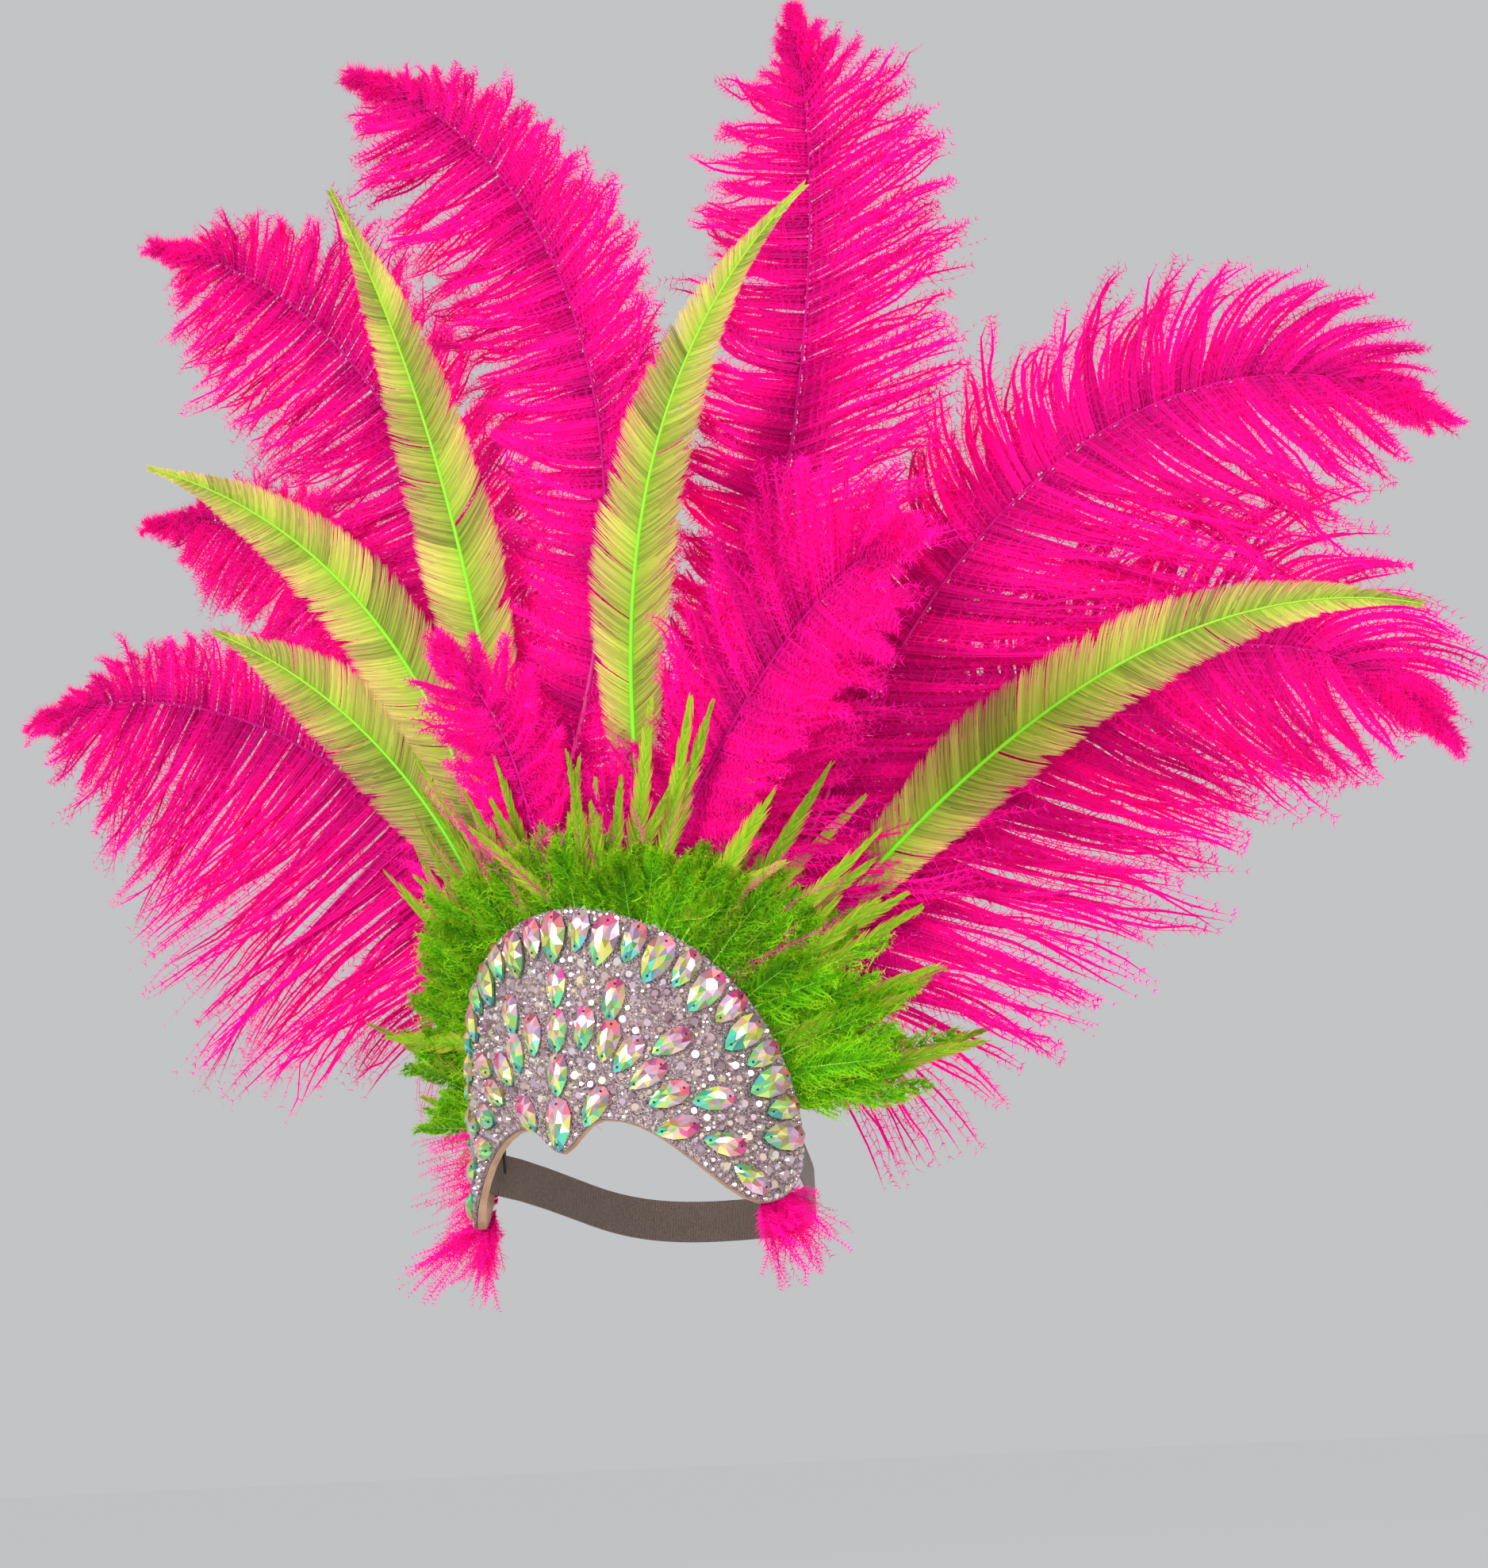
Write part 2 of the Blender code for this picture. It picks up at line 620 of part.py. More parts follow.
def build():
    """Build the headdress."""
    clear_scene()
    finish(crown_wall("crown_plate", 0.0, PLATE_INNER, CROWN_RADIUS), "leather")
    stone_field()
    fan_row()
    quill_holder()
    elastic_band()
    for row in FANS:
        fan(*row)
    plume_sizes = (PLUME_SWEEP, PLUME_BOW, PLUME_DEPTH)
    lime_sizes = (LIME_SWEEP, LIME_BOW, LIME_DEPTH)
    for row in PLUMES:
        feather(row, PLUME_LENGTH, PLUME_HALF_WIDTH, PLUME_OUTLINE, PLUME_LOCKS, plume_sizes,
                LOCK_DIP, "magenta")
    for row in LIME_FEATHERS:
        feather(row, LIME_LENGTH, LIME_HALF_WIDTH, LIME_OUTLINE, LIME_LOCKS, lime_sizes,
                LIME_DIP, "lime")


build()
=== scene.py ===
"""Visual model of a carnival feather headdress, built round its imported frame.

Metres, +Z up, the wearer looks along -Y and the wearer's left is +X. The origin is the centre of
the head opening, level with the tip of the plate's widow's peak.
"""

import logging
import math
from dataclasses import dataclass
from enum import Enum

import bpy
import numpy as np
from mathutils import Matrix, Vector

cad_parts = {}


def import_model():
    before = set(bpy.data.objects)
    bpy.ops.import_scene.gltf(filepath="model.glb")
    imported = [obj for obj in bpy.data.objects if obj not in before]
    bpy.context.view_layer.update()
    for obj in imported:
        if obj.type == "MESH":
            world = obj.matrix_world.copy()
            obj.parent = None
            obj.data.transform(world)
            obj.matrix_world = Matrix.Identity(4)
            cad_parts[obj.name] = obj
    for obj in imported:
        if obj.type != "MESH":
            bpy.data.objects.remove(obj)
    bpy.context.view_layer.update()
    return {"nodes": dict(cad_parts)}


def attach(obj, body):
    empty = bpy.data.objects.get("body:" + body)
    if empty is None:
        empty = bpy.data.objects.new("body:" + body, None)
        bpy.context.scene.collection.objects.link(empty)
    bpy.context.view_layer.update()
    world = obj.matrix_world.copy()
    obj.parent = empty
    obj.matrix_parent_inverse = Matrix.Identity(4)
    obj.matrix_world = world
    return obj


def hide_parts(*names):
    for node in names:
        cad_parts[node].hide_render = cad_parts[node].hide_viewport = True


LOG = logging.getLogger("headdress")

# Crown plate and the layers behind it, as in the part
CROWN_RADIUS = 0.100
CROWN_HALF_ARC = 0.1325
CROWN_HEIGHT = 0.126
TEMPLE_DROP = 0.0285
TEMPLE_ARC = 0.028
BROW_ARC = 0.023
BROW_RISE = 0.015
PLATE_WALL = 0.004
BED_WALL = 0.0015
COLLAR_WALL = 0.0033
CLEARANCE = 0.0003
TOP_ROUNDNESS = 1.8
BROW_EASE = 1.6
BED_RADIUS = CROWN_RADIUS + CLEARANCE + BED_WALL
COLLAR_RADIUS = CROWN_RADIUS - PLATE_WALL - CLEARANCE - COLLAR_WALL / 2

# Sew-on stones
BIG_STONE = (0.027, 0.0155)
SMALL_STONE = (0.021, 0.0112)
STONE_HEIGHT = 0.0046
SHOWN_GIRDLE = 0.0019
TABLE_SHARE = 0.54
HOLE_RADIUS = 0.0007
HOLE_SHADE = -0.45
STONE_EDGE_MARGIN = 0.0015
FAN_STONES = 12

# Feathers
QUILL_WIDTH = 0.0041
QUILL_RADIUS = CROWN_RADIUS - PLATE_WALL - 2 * CLEARANCE - COLLAR_WALL - QUILL_WIDTH / 2
QUILL_SINK = 0.022
QUILL_ROOT = 0.032
QUILL_BLEND = 0.060
PATH_STEPS = 48
PLUME_LENGTH = 0.600
PLUME_HALF_WIDTH = 0.080
LIME_LENGTH = 0.480
LIME_HALF_WIDTH = 0.032
COLLAR_REACH = 0.090
COLLAR_INSET = 0.010

# Corners of the space past which loose barbs lie closer together
LOOSE_LOW = np.array([-0.548, -0.152, -0.080])
LOOSE_HIGH = np.array([0.455, 0.172, 0.718])
LOOSE_SHARE = 0.3

# Width of a feather's vane along its length: station and width, both as shares
PLUME_OUTLINE = ((0.14, 0.00), (0.20, 0.50), (0.32, 0.86), (0.52, 1.00), (0.76, 0.95),
                 (0.91, 0.72), (1.00, 0.24))
LIME_OUTLINE = ((0.16, 0.00), (0.26, 0.60), (0.42, 1.00), (0.62, 0.94), (0.80, 0.64),
                (0.92, 0.32), (1.00, 0.06))

# Inner stones: arc and height as shares of the half arc and height, turn of the point in degrees
INNER_STONES = (
    # arc, height, turn, big
    (0.000, 0.677, 0, False),
    (0.000, 0.494, 0, False),
    (0.000, 0.315, 0, False),
    (0.000, 0.115, 0, True),
    (0.150, 0.172, 30, False),
    (0.232, 0.594, 12, False),
    (0.115, 0.492, 6, False),
    (0.208, 0.433, 18, False),
    (0.283, 0.372, 40, False),
    (0.446, 0.412, 62, False),
    (0.354, 0.285, 56, False),
    (0.430, 0.200, 66, False),
    (0.459, 0.070, 78, False),
    (0.595, 0.183, 82, False),
    (0.634, 0.005, 100, False),
    (0.735, -0.132, 122, False),
)


class Hue(Enum):
    """Dye of a feather."""

    MAGENTA = "magenta"
    LIME = "lime"
    GREEN = "green"


@dataclass(frozen=True)
class FeatherRow:
    """Seat, leans in degrees, and sizes of one feather, as in the part's table."""

    name: str
    seat: float
    root: float
    out_base: float
    out_tip: float
    back_base: float
    back_tip: float
    curl: float
    length: float
    left: float
    right: float
    full: float


PLUMES = (
    # name, seat, root, out_base, out_tip, back_base, back_tip, curl, length, left, right, full
    FeatherRow("plume_right_low", -58, -34, -15, -87, 4, 11, 0.8, 1.00, 0.65, 1.85, 1.2),
    FeatherRow("plume_right_middle", -66, -20, -23, -79, 15, 18, 1.9, 1.25, 0.75, 0.90, 0.2),
    FeatherRow("plume_right_upper", -50, -10, 5, -64, 6, 8, 1.1, 1.25, 0.90, 1.15, 0.2),
    FeatherRow("plume_right_centre", -8, -2, 32, -56, 3, 5, 1.0, 1.11, 0.65, 1.20, 0.1),
    FeatherRow("plume_left_centre", 29, 24, 18, -11, 6, 10, 1.5, 1.00, 1.15, 1.20, 0.2),
    FeatherRow("plume_left_upper", 48, 40, 21, 127, 11, 21, 2.6, 0.95, 1.00, 1.10, 0.3),
    FeatherRow("plume_left_low", 64, 46, 33, 146, 14, 22, 2.6, 0.80, 1.40, 1.75, 1.0),
    FeatherRow("plume_front_curled", 20, 24, 38, 92, -12, -36, 2.4, 0.48, 0.70, 0.90, -0.4),
    FeatherRow("plume_front_small", -14, 0, 16, -30, -14, -26, 1.4, 0.28, 0.50, 0.50, 0.2),
)
LIMES = (
    # name, seat, root, out_base, out_tip, back_base, back_tip, curl, length, left, right, full
    FeatherRow("lime_feather_right_low", -43, -18, -6, -62, -7, -3, 0.8, 0.71, 1.0, 1.0, 0.3),
    FeatherRow("lime_feather_right_middle", -34, -15, 8, -66, -6, -1, 0.8, 0.97, 1.0, 1.0, 0.3),
    FeatherRow("lime_feather_right_upper", -24, 1, -4, -26, -4, -2, 1.4, 1.05, 1.0, 1.0, 0.3),
    FeatherRow("lime_feather_left_upper", 14, 20, -3, 62, -7, -4, 2.0, 0.90, 1.0, 1.0, 0.3),
    FeatherRow("lime_feather_left_low", 56, 44, 51, 111, -4, 6, 2.6, 0.93, 1.0, 1.0, 0.3),
)


@dataclass(frozen=True)
class FanRow:
    """Stretch of the plate's edge that one fan of small feathers covers."""

    name: str
    start: float
    end: float
    reach_start: float
    reach_end: float
    flare_start: float
    flare_end: float
    hue: Hue


FANS = (
    # name, start, end, reach_start, reach_end, flare_start, flare_end, hue
    FanRow("collar_feathers_top", -0.150, 0.150, 0.50, 0.50, 14, 14, Hue.GREEN),
    FanRow("collar_feathers_left_upper", 0.155, 0.385, 0.54, 0.76, 14, 18, Hue.GREEN),
    FanRow("collar_feathers_left_middle", 0.390, 0.590, 0.78, 0.96, 20, 30, Hue.GREEN),
    FanRow("collar_feathers_left_lower", 0.595, 0.725, 0.98, 1.05, 32, 40, Hue.GREEN),
    FanRow("collar_feathers_right_upper", -0.155, -0.385, 0.54, 0.76, 14, 18, Hue.GREEN),
    FanRow("collar_feathers_right_middle", -0.390, -0.590, 0.78, 0.96, 20, 30, Hue.GREEN),
    FanRow("collar_feathers_right_lower", -0.595, -0.725, 0.98, 1.05, 32, 40, Hue.GREEN),
    FanRow("temple_tuft_left", 0.905, 0.990, 0.62, 0.52, 6, 2, Hue.MAGENTA),
    FanRow("temple_tuft_right", -0.905, -0.990, 0.74, 0.90, 6, 2, Hue.MAGENTA),
)


# Stretches of the edge where stray magenta strands stand out of the collar
LOOSE_WISPS = (
    # name, start, end, reach_start, reach_end, flare_start, flare_end, hue
    FanRow("loose_wisps_top", -0.32, 0.22, 1.0, 1.0, 16, 16, Hue.MAGENTA),
    FanRow("loose_wisps_left", 0.30, 0.62, 1.0, 1.0, 22, 22, Hue.MAGENTA),
    FanRow("loose_wisps_right", -0.70, -0.96, 1.0, 1.0, 60, 56, Hue.MAGENTA),
)


# Small maths

def unit(vectors: np.ndarray) -> np.ndarray:
    """Scale vectors to length one.

    Args:
        vectors: Any array whose last axis holds x, y and z.

    Returns:
        The array with each vector of length one.
    """
    size = np.linalg.norm(vectors, axis=-1, keepdims=True)
    return vectors / np.maximum(size, 1e-12)


def smooth_step(share: np.ndarray) -> np.ndarray:
    """Ease from 0 to 1."""
    share = np.clip(share, 0.0, 1.0)
    return share * share * (3 - 2 * share)


def wrap(arc: np.ndarray, height: np.ndarray, radius: float) -> np.ndarray:
    """Place points of the flat pattern on the cylinder round the head.

    Args:
        arc: Distance round the plate from its centre.
        height: Height above the widow's peak.
        radius: Radius of the cylinder.

    Returns:
        The points in space.
    """
    angle = np.asarray(arc, float) / CROWN_RADIUS
    height = np.asarray(height, float) + 0 * angle
    return np.stack([radius * np.sin(angle), -radius * np.cos(angle), height], axis=-1)


def top_edge(arc: float) -> float:
    """Height of the plate's rounded top edge."""
    share = min(abs(arc) / CROWN_HALF_ARC, 1.0)
    return CROWN_HEIGHT * (1 - share ** TOP_ROUNDNESS) ** (1 / TOP_ROUNDNESS)


def low_edge(arc: float) -> float:
    """Height of the plate's lower edge: widow's peak, brow arch and rounded temple."""
    arc = abs(arc)
    temple_start = CROWN_HALF_ARC - TEMPLE_ARC
    if arc <= BROW_ARC:
        return BROW_RISE * math.sin(math.pi / 2 * arc / BROW_ARC) ** BROW_EASE
    if arc <= temple_start:
        share = (temple_start - arc) / (temple_start - BROW_ARC)
        rise = math.sin(math.pi / 2 * share) ** BROW_EASE
        return -TEMPLE_DROP + (TEMPLE_DROP + BROW_RISE) * rise
    share = min((arc - temple_start) / TEMPLE_ARC, 1.0)
    return -TEMPLE_DROP * math.sqrt(1 - share * share)


class PlateEdge:
    """The plate's edge line from its top centre round a temple to its lowest point."""

    SAMPLES = 48

    def __init__(self) -> None:
        """Sample the edge line and its running length."""
        points = []
        power = 2 / TOP_ROUNDNESS
        for step in range(self.SAMPLES):
            turn = math.pi / 2 * step / self.SAMPLES
            points.append((CROWN_HALF_ARC * math.sin(turn) ** power,
                           CROWN_HEIGHT * math.cos(turn) ** power))
        for step in range(self.SAMPLES // 2 + 1):
            turn = math.pi / 2 * step / (self.SAMPLES // 2)
            points.append((CROWN_HALF_ARC - TEMPLE_ARC * (1 - math.cos(turn)),
                           -TEMPLE_DROP * math.sin(turn)))
        self.points = np.array(points)
        steps = np.linalg.norm(np.diff(self.points, axis=0), axis=1)
        self.run = np.concatenate([[0.0], np.cumsum(steps)])

    @property
    def top_run(self) -> float:
        """Length of the rounded top edge from its centre to the temple."""
        return float(self.run[self.SAMPLES])

    def at(self, share: np.ndarray) -> tuple[np.ndarray, np.ndarray]:
        """Read the edge line.

        Args:
            share: Share of the line from the top centre, below zero on the wearer's right.

        Returns:
            Points of the flat pattern and their outward directions.
        """
        share = np.asarray(share, float)
        side = np.where(share < 0, -1.0, 1.0)
        run = np.abs(share) * self.run[-1]
        flat = np.stack([np.interp(run, self.run, self.points[:, k]) for k in (0, 1)], axis=-1)
        reach = 0.004
        ahead = np.stack([np.interp(run + reach, self.run, self.points[:, k]) for k in (0, 1)],
                         axis=-1)
        behind = np.stack([np.interp(run - reach, self.run, self.points[:, k]) for k in (0, 1)],
                          axis=-1)
        along = ahead - behind
        along = along / np.linalg.norm(along, axis=-1, keepdims=True)
        outward = np.stack([-along[..., 1] * side, along[..., 0]], axis=-1)
        flat[..., 0] *= side
        return flat, outward


EDGE = PlateEdge()


# Meshes from arrays

class Strands:
    """Gathers many small ribbons and spikes and joins them into one mesh."""

    def __init__(self) -> None:
        """Start with nothing gathered."""
        self.points: list[np.ndarray] = []
        self.quads: list[np.ndarray] = []
        self.triangles: list[np.ndarray] = []
        self.tones: list[np.ndarray] = []
        self.count = 0

    def _keep(self, points: np.ndarray, tones: np.ndarray) -> int:
        """Store points with their tones and return the index of the first."""
        first = self.count
        self.points.append(points.reshape(-1, 3))
        self.tones.append(tones.reshape(-1, 3))
        self.count += points.size // 3
        return first

    def ribbons(self, path: np.ndarray, facing: np.ndarray, half: np.ndarray,
                tone: np.ndarray) -> None:
        """Add ribbons that end in a point.

        Args:
            path: Points of each ribbon, shape (ribbons, steps, 3).
            facing: Direction that each ribbon's flat side faces, shape (ribbons, 3).
            half: Half width at each step, shape (ribbons, steps) or (steps,).
            tone: One random value and one clump value a ribbon, shape (ribbons, 2).
        """
        count, steps, _ = path.shape
        along = unit(np.gradient(path, axis=1))
        across = unit(np.cross(along, facing[:, None, :]))
        half = np.broadcast_to(half, (count, steps))[:, :-1, None]
        left = path[:, :-1] + across[:, :-1] * half
        right = path[:, :-1] - across[:, :-1] * half
        points = np.concatenate([left, right, path[:, -1:]], axis=1)
        run = np.linspace(0, 1, steps)
        run = np.concatenate([run[:-1], run[:-1], run[-1:]])
        tones = np.empty((count, 2 * steps - 1, 3))
        tones[..., 0] = run
        tones[..., 1:] = tone[:, None, :]
        first = self._keep(points, tones) + np.arange(count)[:, None] * (2 * steps - 1)
        step = np.arange(steps - 2)[None, :]
        rows = steps - 1
        self.quads.append(np.stack([first + step, first + rows + step, first + rows + step + 1,
                                    first + step + 1], axis=-1).reshape(-1, 4))
        self.triangles.append(np.stack([first + rows - 1, first + 2 * rows - 1,
                                        first + 2 * rows], axis=-1).reshape(-1, 3))

    def spikes(self, base: np.ndarray, along: np.ndarray, tip: np.ndarray, half: float,
               tone: np.ndarray) -> None:
        """Add single-triangle spikes.

        Args:
            base: Middle of each spike's foot.
            along: Direction of the foot.
            tip: Tip of each spike.
            half: Half length of the foot.
            tone: Tone of each spike, shape as base.
        """
        points = np.stack([base - along * half, base + along * half, tip], axis=-2)
        tones = np.repeat(tone[..., None, :], 3, axis=-2)
        first = self._keep(points, tones)
        count = points.size // 9
        self.triangles.append(first + np.arange(count * 3).reshape(-1, 3))

    def tubes(self, path: np.ndarray, radius: np.ndarray, tone: tuple[float, float],
              sides: int = 6) -> None:
        """Add one round tube along a path.

        Args:
            path: Points of the tube, shape (steps, 3).
            radius: Radius at each point.
            tone: Random value and clump value of the tube.
            sides: Sides of the tube.
        """
        along = unit(np.gradient(path, axis=0))
        beside = unit(np.cross(along, np.array([0.03, -1.0, 0.05])))
        over = np.cross(beside, along)
        turn = np.linspace(0, 2 * math.pi, sides, endpoint=False)
        ring = (beside[:, None] * np.cos(turn)[None, :, None]
                + over[:, None] * np.sin(turn)[None, :, None])
        points = path[:, None] + ring * np.asarray(radius)[:, None, None]
        tones = np.empty(points.shape)
        tones[..., 0] = np.linspace(0, 1, len(path))[:, None]
        tones[..., 1], tones[..., 2] = tone
        first = self._keep(points, tones)
        step = np.arange(len(path) - 1)[:, None] * sides
        corner = np.arange(sides)[None, :]
        after = (corner + 1) % sides
        self.quads.append((first + np.stack([step + corner, step + after, step + sides + after,
                                             step + sides + corner], axis=-1)).reshape(-1, 4))
        last = first + (len(path) - 1) * sides
        for start in (first, last):
            for corner in range(1, sides - 1):
                self.triangles.append(np.array([[start, start + corner, start + corner + 1]]))

    def build(self, name: str) -> bpy.types.Object:
        """Join all that was gathered.

        Args:
            name: Name of the piece.

        Returns:
            The object, with a point attribute "tone".
        """
        points = np.concatenate(self.points)
        tones = np.concatenate(self.tones)
        quads = np.concatenate(self.quads) if self.quads else np.empty((0, 4), int)
        triangles = np.concatenate(self.triangles)
        mesh = bpy.data.meshes.new(name)
        mesh.vertices.add(len(points))
        mesh.vertices.foreach_set("co", points.ravel())
        mesh.loops.add(quads.size + triangles.size)
        mesh.loops.foreach_set("vertex_index", np.concatenate([quads.ravel(), triangles.ravel()]))
        mesh.polygons.add(len(quads) + len(triangles))
        starts = np.concatenate([np.arange(len(quads)) * 4,
                                 quads.size + np.arange(len(triangles)) * 3])
        mesh.polygons.foreach_set("loop_start", starts)
        mesh.update(calc_edges=True)
        colours = np.ones((len(points), 4), np.float32)
        colours[:, :3] = tones
        layer = mesh.color_attributes.new("tone", "FLOAT_COLOR", "POINT")
        layer.data.foreach_set("color", colours.ravel())
        mesh.shade_smooth()
        item = bpy.data.objects.new(name, mesh)
        bpy.context.scene.collection.objects.link(item)
        LOG.info("%s: %d triangles", name, 2 * len(quads) + len(triangles))
        return item


# Finishes

def link(tree: bpy.types.NodeTree, source: bpy.types.NodeSocket,
         target: bpy.types.NodeSocket) -> None:
    """Join two sockets."""
    tree.links.new(source, target)


def fibre_group() -> bpy.types.NodeTree:
    """Make the group that colours a strand from its root to its tip.

    Returns:
        The node group, with a strand's run and random value in and its colour out.
    """
    group = bpy.data.node_groups.new("strand_colour", "ShaderNodeTree")
    for name, kind in (("Run", "NodeSocketFloat"), ("Random", "NodeSocketFloat"),
                       ("Clump", "NodeSocketFloat"), ("Root", "NodeSocketColor"),
                       ("Middle", "NodeSocketColor"), ("Tip", "NodeSocketColor"),
                       ("Spread", "NodeSocketFloat")):
        group.interface.new_socket(name, in_out="INPUT", socket_type=kind)
    group.interface.new_socket("Colour", in_out="OUTPUT", socket_type="NodeSocketColor")
    nodes = group.nodes
    entry = nodes.new("NodeGroupInput")
    leave = nodes.new("NodeGroupOutput")
    early = nodes.new("ShaderNodeMapRange")
    early.inputs["From Max"].default_value = 0.35
    late = nodes.new("ShaderNodeMapRange")
    late.inputs["From Min"].default_value = 0.35
    first = nodes.new("ShaderNodeMix")
    first.data_type = "RGBA"
    second = nodes.new("ShaderNodeMix")
    second.data_type = "RGBA"
    shade = nodes.new("ShaderNodeHueSaturation")
    mean = nodes.new("ShaderNodeMath")
    mean.operation = "ADD"
    centred = nodes.new("ShaderNodeMath")
    centred.operation = "SUBTRACT"
    centred.inputs[1].default_value = 1.0
    swing = nodes.new("ShaderNodeMath")
    swing.operation = "MULTIPLY_ADD"
    swing.inputs[2].default_value = 1.0
    link(group, entry.outputs["Run"], early.inputs["Value"])
    link(group, entry.outputs["Run"], late.inputs["Value"])
    link(group, early.outputs["Result"], first.inputs["Factor"])
    link(group, entry.outputs["Root"], first.inputs["A"])
    link(group, entry.outputs["Middle"], first.inputs["B"])
    link(group, late.outputs["Result"], second.inputs["Factor"])
    link(group, first.outputs["Result"], second.inputs["A"])
    link(group, entry.outputs["Tip"], second.inputs["B"])
    link(group, entry.outputs["Random"], mean.inputs[0])
    link(group, entry.outputs["Clump"], mean.inputs[1])
    link(group, mean.outputs[0], centred.inputs[0])
    link(group, centred.outputs[0], swing.inputs[0])
    link(group, entry.outputs["Spread"], swing.inputs[1])
    link(group, swing.outputs[0], shade.inputs["Value"])
    link(group, second.outputs["Result"], shade.inputs["Color"])
    link(group, shade.outputs["Color"], leave.inputs["Colour"])
    return group


@dataclass(frozen=True)
class StrandFinish:
    """Dyed strand: colours from root to tip, and how it takes the light."""

    name: str
    root: tuple[float, float, float]
    middle: tuple[float, float, float]
    tip: tuple[float, float, float]
    spread: float
    rough: float
    through: float

    def build(self, group: bpy.types.NodeTree) -> bpy.types.Material:
        """Make the material.

        Args:
            group: The strand colour group.

        Returns:
            The material.
        """
        material = bpy.data.materials.new(self.name)
        material.use_nodes = True
        tree = material.node_tree
        shader = tree.nodes["Principled BSDF"]
        output = tree.nodes["Material Output"]
        tone = tree.nodes.new("ShaderNodeAttribute")
        tone.attribute_name = "tone"
        split = tree.nodes.new("ShaderNodeSeparateColor")
        colour = tree.nodes.new("ShaderNodeGroup")
        colour.node_tree = group
        for socket, value in (("Root", self.root), ("Middle", self.middle), ("Tip", self.tip)):
            colour.inputs[socket].default_value = (*value, 1.0)
        colour.inputs["Spread"].default_value = self.spread
        glow = tree.nodes.new("ShaderNodeBsdfTranslucent")
        mix = tree.nodes.new("ShaderNodeMixShader")
        mix.inputs[0].default_value = self.through
        link(tree, tone.outputs["Color"], split.inputs["Color"])
        link(tree, split.outputs["Red"], colour.inputs["Run"])
        link(tree, split.outputs["Green"], colour.inputs["Random"])
        link(tree, split.outputs["Blue"], colour.inputs["Clump"])
        link(tree, colour.outputs["Colour"], shader.inputs["Base Color"])
        link(tree, colour.outputs["Colour"], glow.inputs["Color"])
        link(tree, shader.outputs["BSDF"], mix.inputs[1])
        link(tree, glow.outputs["BSDF"], mix.inputs[2])
        link(tree, mix.outputs["Shader"], output.inputs["Surface"])
        shader.inputs["Roughness"].default_value = self.rough
        shader.inputs["Specular IOR Level"].default_value = 0.12
        return material


# Magenta dye; the root colour is darker than the middle as painted shade deep in the plume near
# the quill.
PLUME_FINISH = StrandFinish("magenta_barbs", (0.60, 0.000, 0.180), (0.92, 0.001, 0.310),
                            (1.0, 0.003, 0.36), 0.36, 0.7, 0.30)
PLUME_QUILL = StrandFinish("magenta_quill", (0.80, 0.05, 0.30), (0.42, 0.0, 0.14),
                           (0.70, 0.0, 0.24), 0.10, 0.4, 0.05)
LIME_FINISH = StrandFinish("lime_barbs", (0.26, 0.41, 0.025), (0.36, 0.40, 0.055),
                           (0.50, 0.37, 0.12), 0.60, 0.5, 0.28)
LIME_QUILL = StrandFinish("lime_quill", (0.26, 0.78, 0.02), (0.19, 0.74, 0.02),
                          (0.38, 0.56, 0.05), 0.10, 0.3, 0.10)
GREEN_FINISH = StrandFinish("green_barbs", (0.060, 0.30, 0.002), (0.16, 0.54, 0.004),
                            (0.34, 0.62, 0.012), 0.50, 0.7, 0.42)
GREEN_QUILL = StrandFinish("green_quill", (0.32, 0.66, 0.05), (0.34, 0.62, 0.05),
                           (0.42, 0.44, 0.07), 0.10, 0.4, 0.10)
HACKLE_FINISH = StrandFinish("hackle_barbs", (0.18, 0.44, 0.008), (0.32, 0.48, 0.02),
                             (0.46, 0.38, 0.05), 0.40, 0.5, 0.35)


# Feathers

@dataclass(frozen=True)
class VaneStyle:
    """How the barbs of a kind of feather grow."""

    pitch: float
    steps: int
    angle_base: float
    angle_tip: float
    core: float
    barbules: int
    barbule_length: float
    foot: float
    clump: tuple[int, int]
    pull: float
    stray: float
    lift: float
    trim: float
    droop: float
    bow: float
    wave: float
    roll: float
    lock: float


PLUME_STYLE = VaneStyle(pitch=0.00082, steps=8, angle_base=76, angle_tip=38, core=0.00040,
                        barbules=18, barbule_length=0.0070, foot=0.00040, clump=(3, 9),
                        pull=0.75, stray=5.5, lift=14.0, trim=0.09, droop=0.12, bow=0.15,
                        wave=0.0026, roll=42, lock=0.0014)
LIME_STYLE = VaneStyle(pitch=0.00066, steps=6, angle_base=60, angle_tip=47, core=0.00056,
                       barbules=0, barbule_length=0.0, foot=0.0, clump=(20, 60), pull=0.03,
                       stray=1.0, lift=1.6, trim=0.022, droop=0.0, bow=0.06, wave=0.0002,
                       roll=7, lock=0.0)
DOWN_STYLE = VaneStyle(pitch=0.0, steps=5, angle_base=60, angle_tip=28, core=0.00034,
                       barbules=4, barbule_length=0.0036, foot=0.00034, clump=(3, 8), pull=0.6,
                       stray=10, lift=22, trim=0.12, droop=0.04, bow=0.0, wave=0.0020, roll=55,
                       lock=0.0008)
HACKLE_STYLE = VaneStyle(pitch=0.0, steps=4, angle_base=30, angle_tip=18, core=0.00050,
                         barbules=0, barbule_length=0.0, foot=0.0, clump=(5, 14), pull=0.2,
                         stray=2.5, lift=4, trim=0.08, droop=0.0, bow=0.05, wave=0.0003, roll=12,
                         lock=0.0)
WISP_STYLE = VaneStyle(pitch=0.0, steps=9, angle_base=0, angle_tip=0, core=0.00034,
                       barbules=24, barbule_length=0.0046, foot=0.00034, clump=(2, 5), pull=0.35,
                       stray=12, lift=16, trim=0.2, droop=0.1, bow=0.0, wave=0.004, roll=60,
                       lock=0.0)


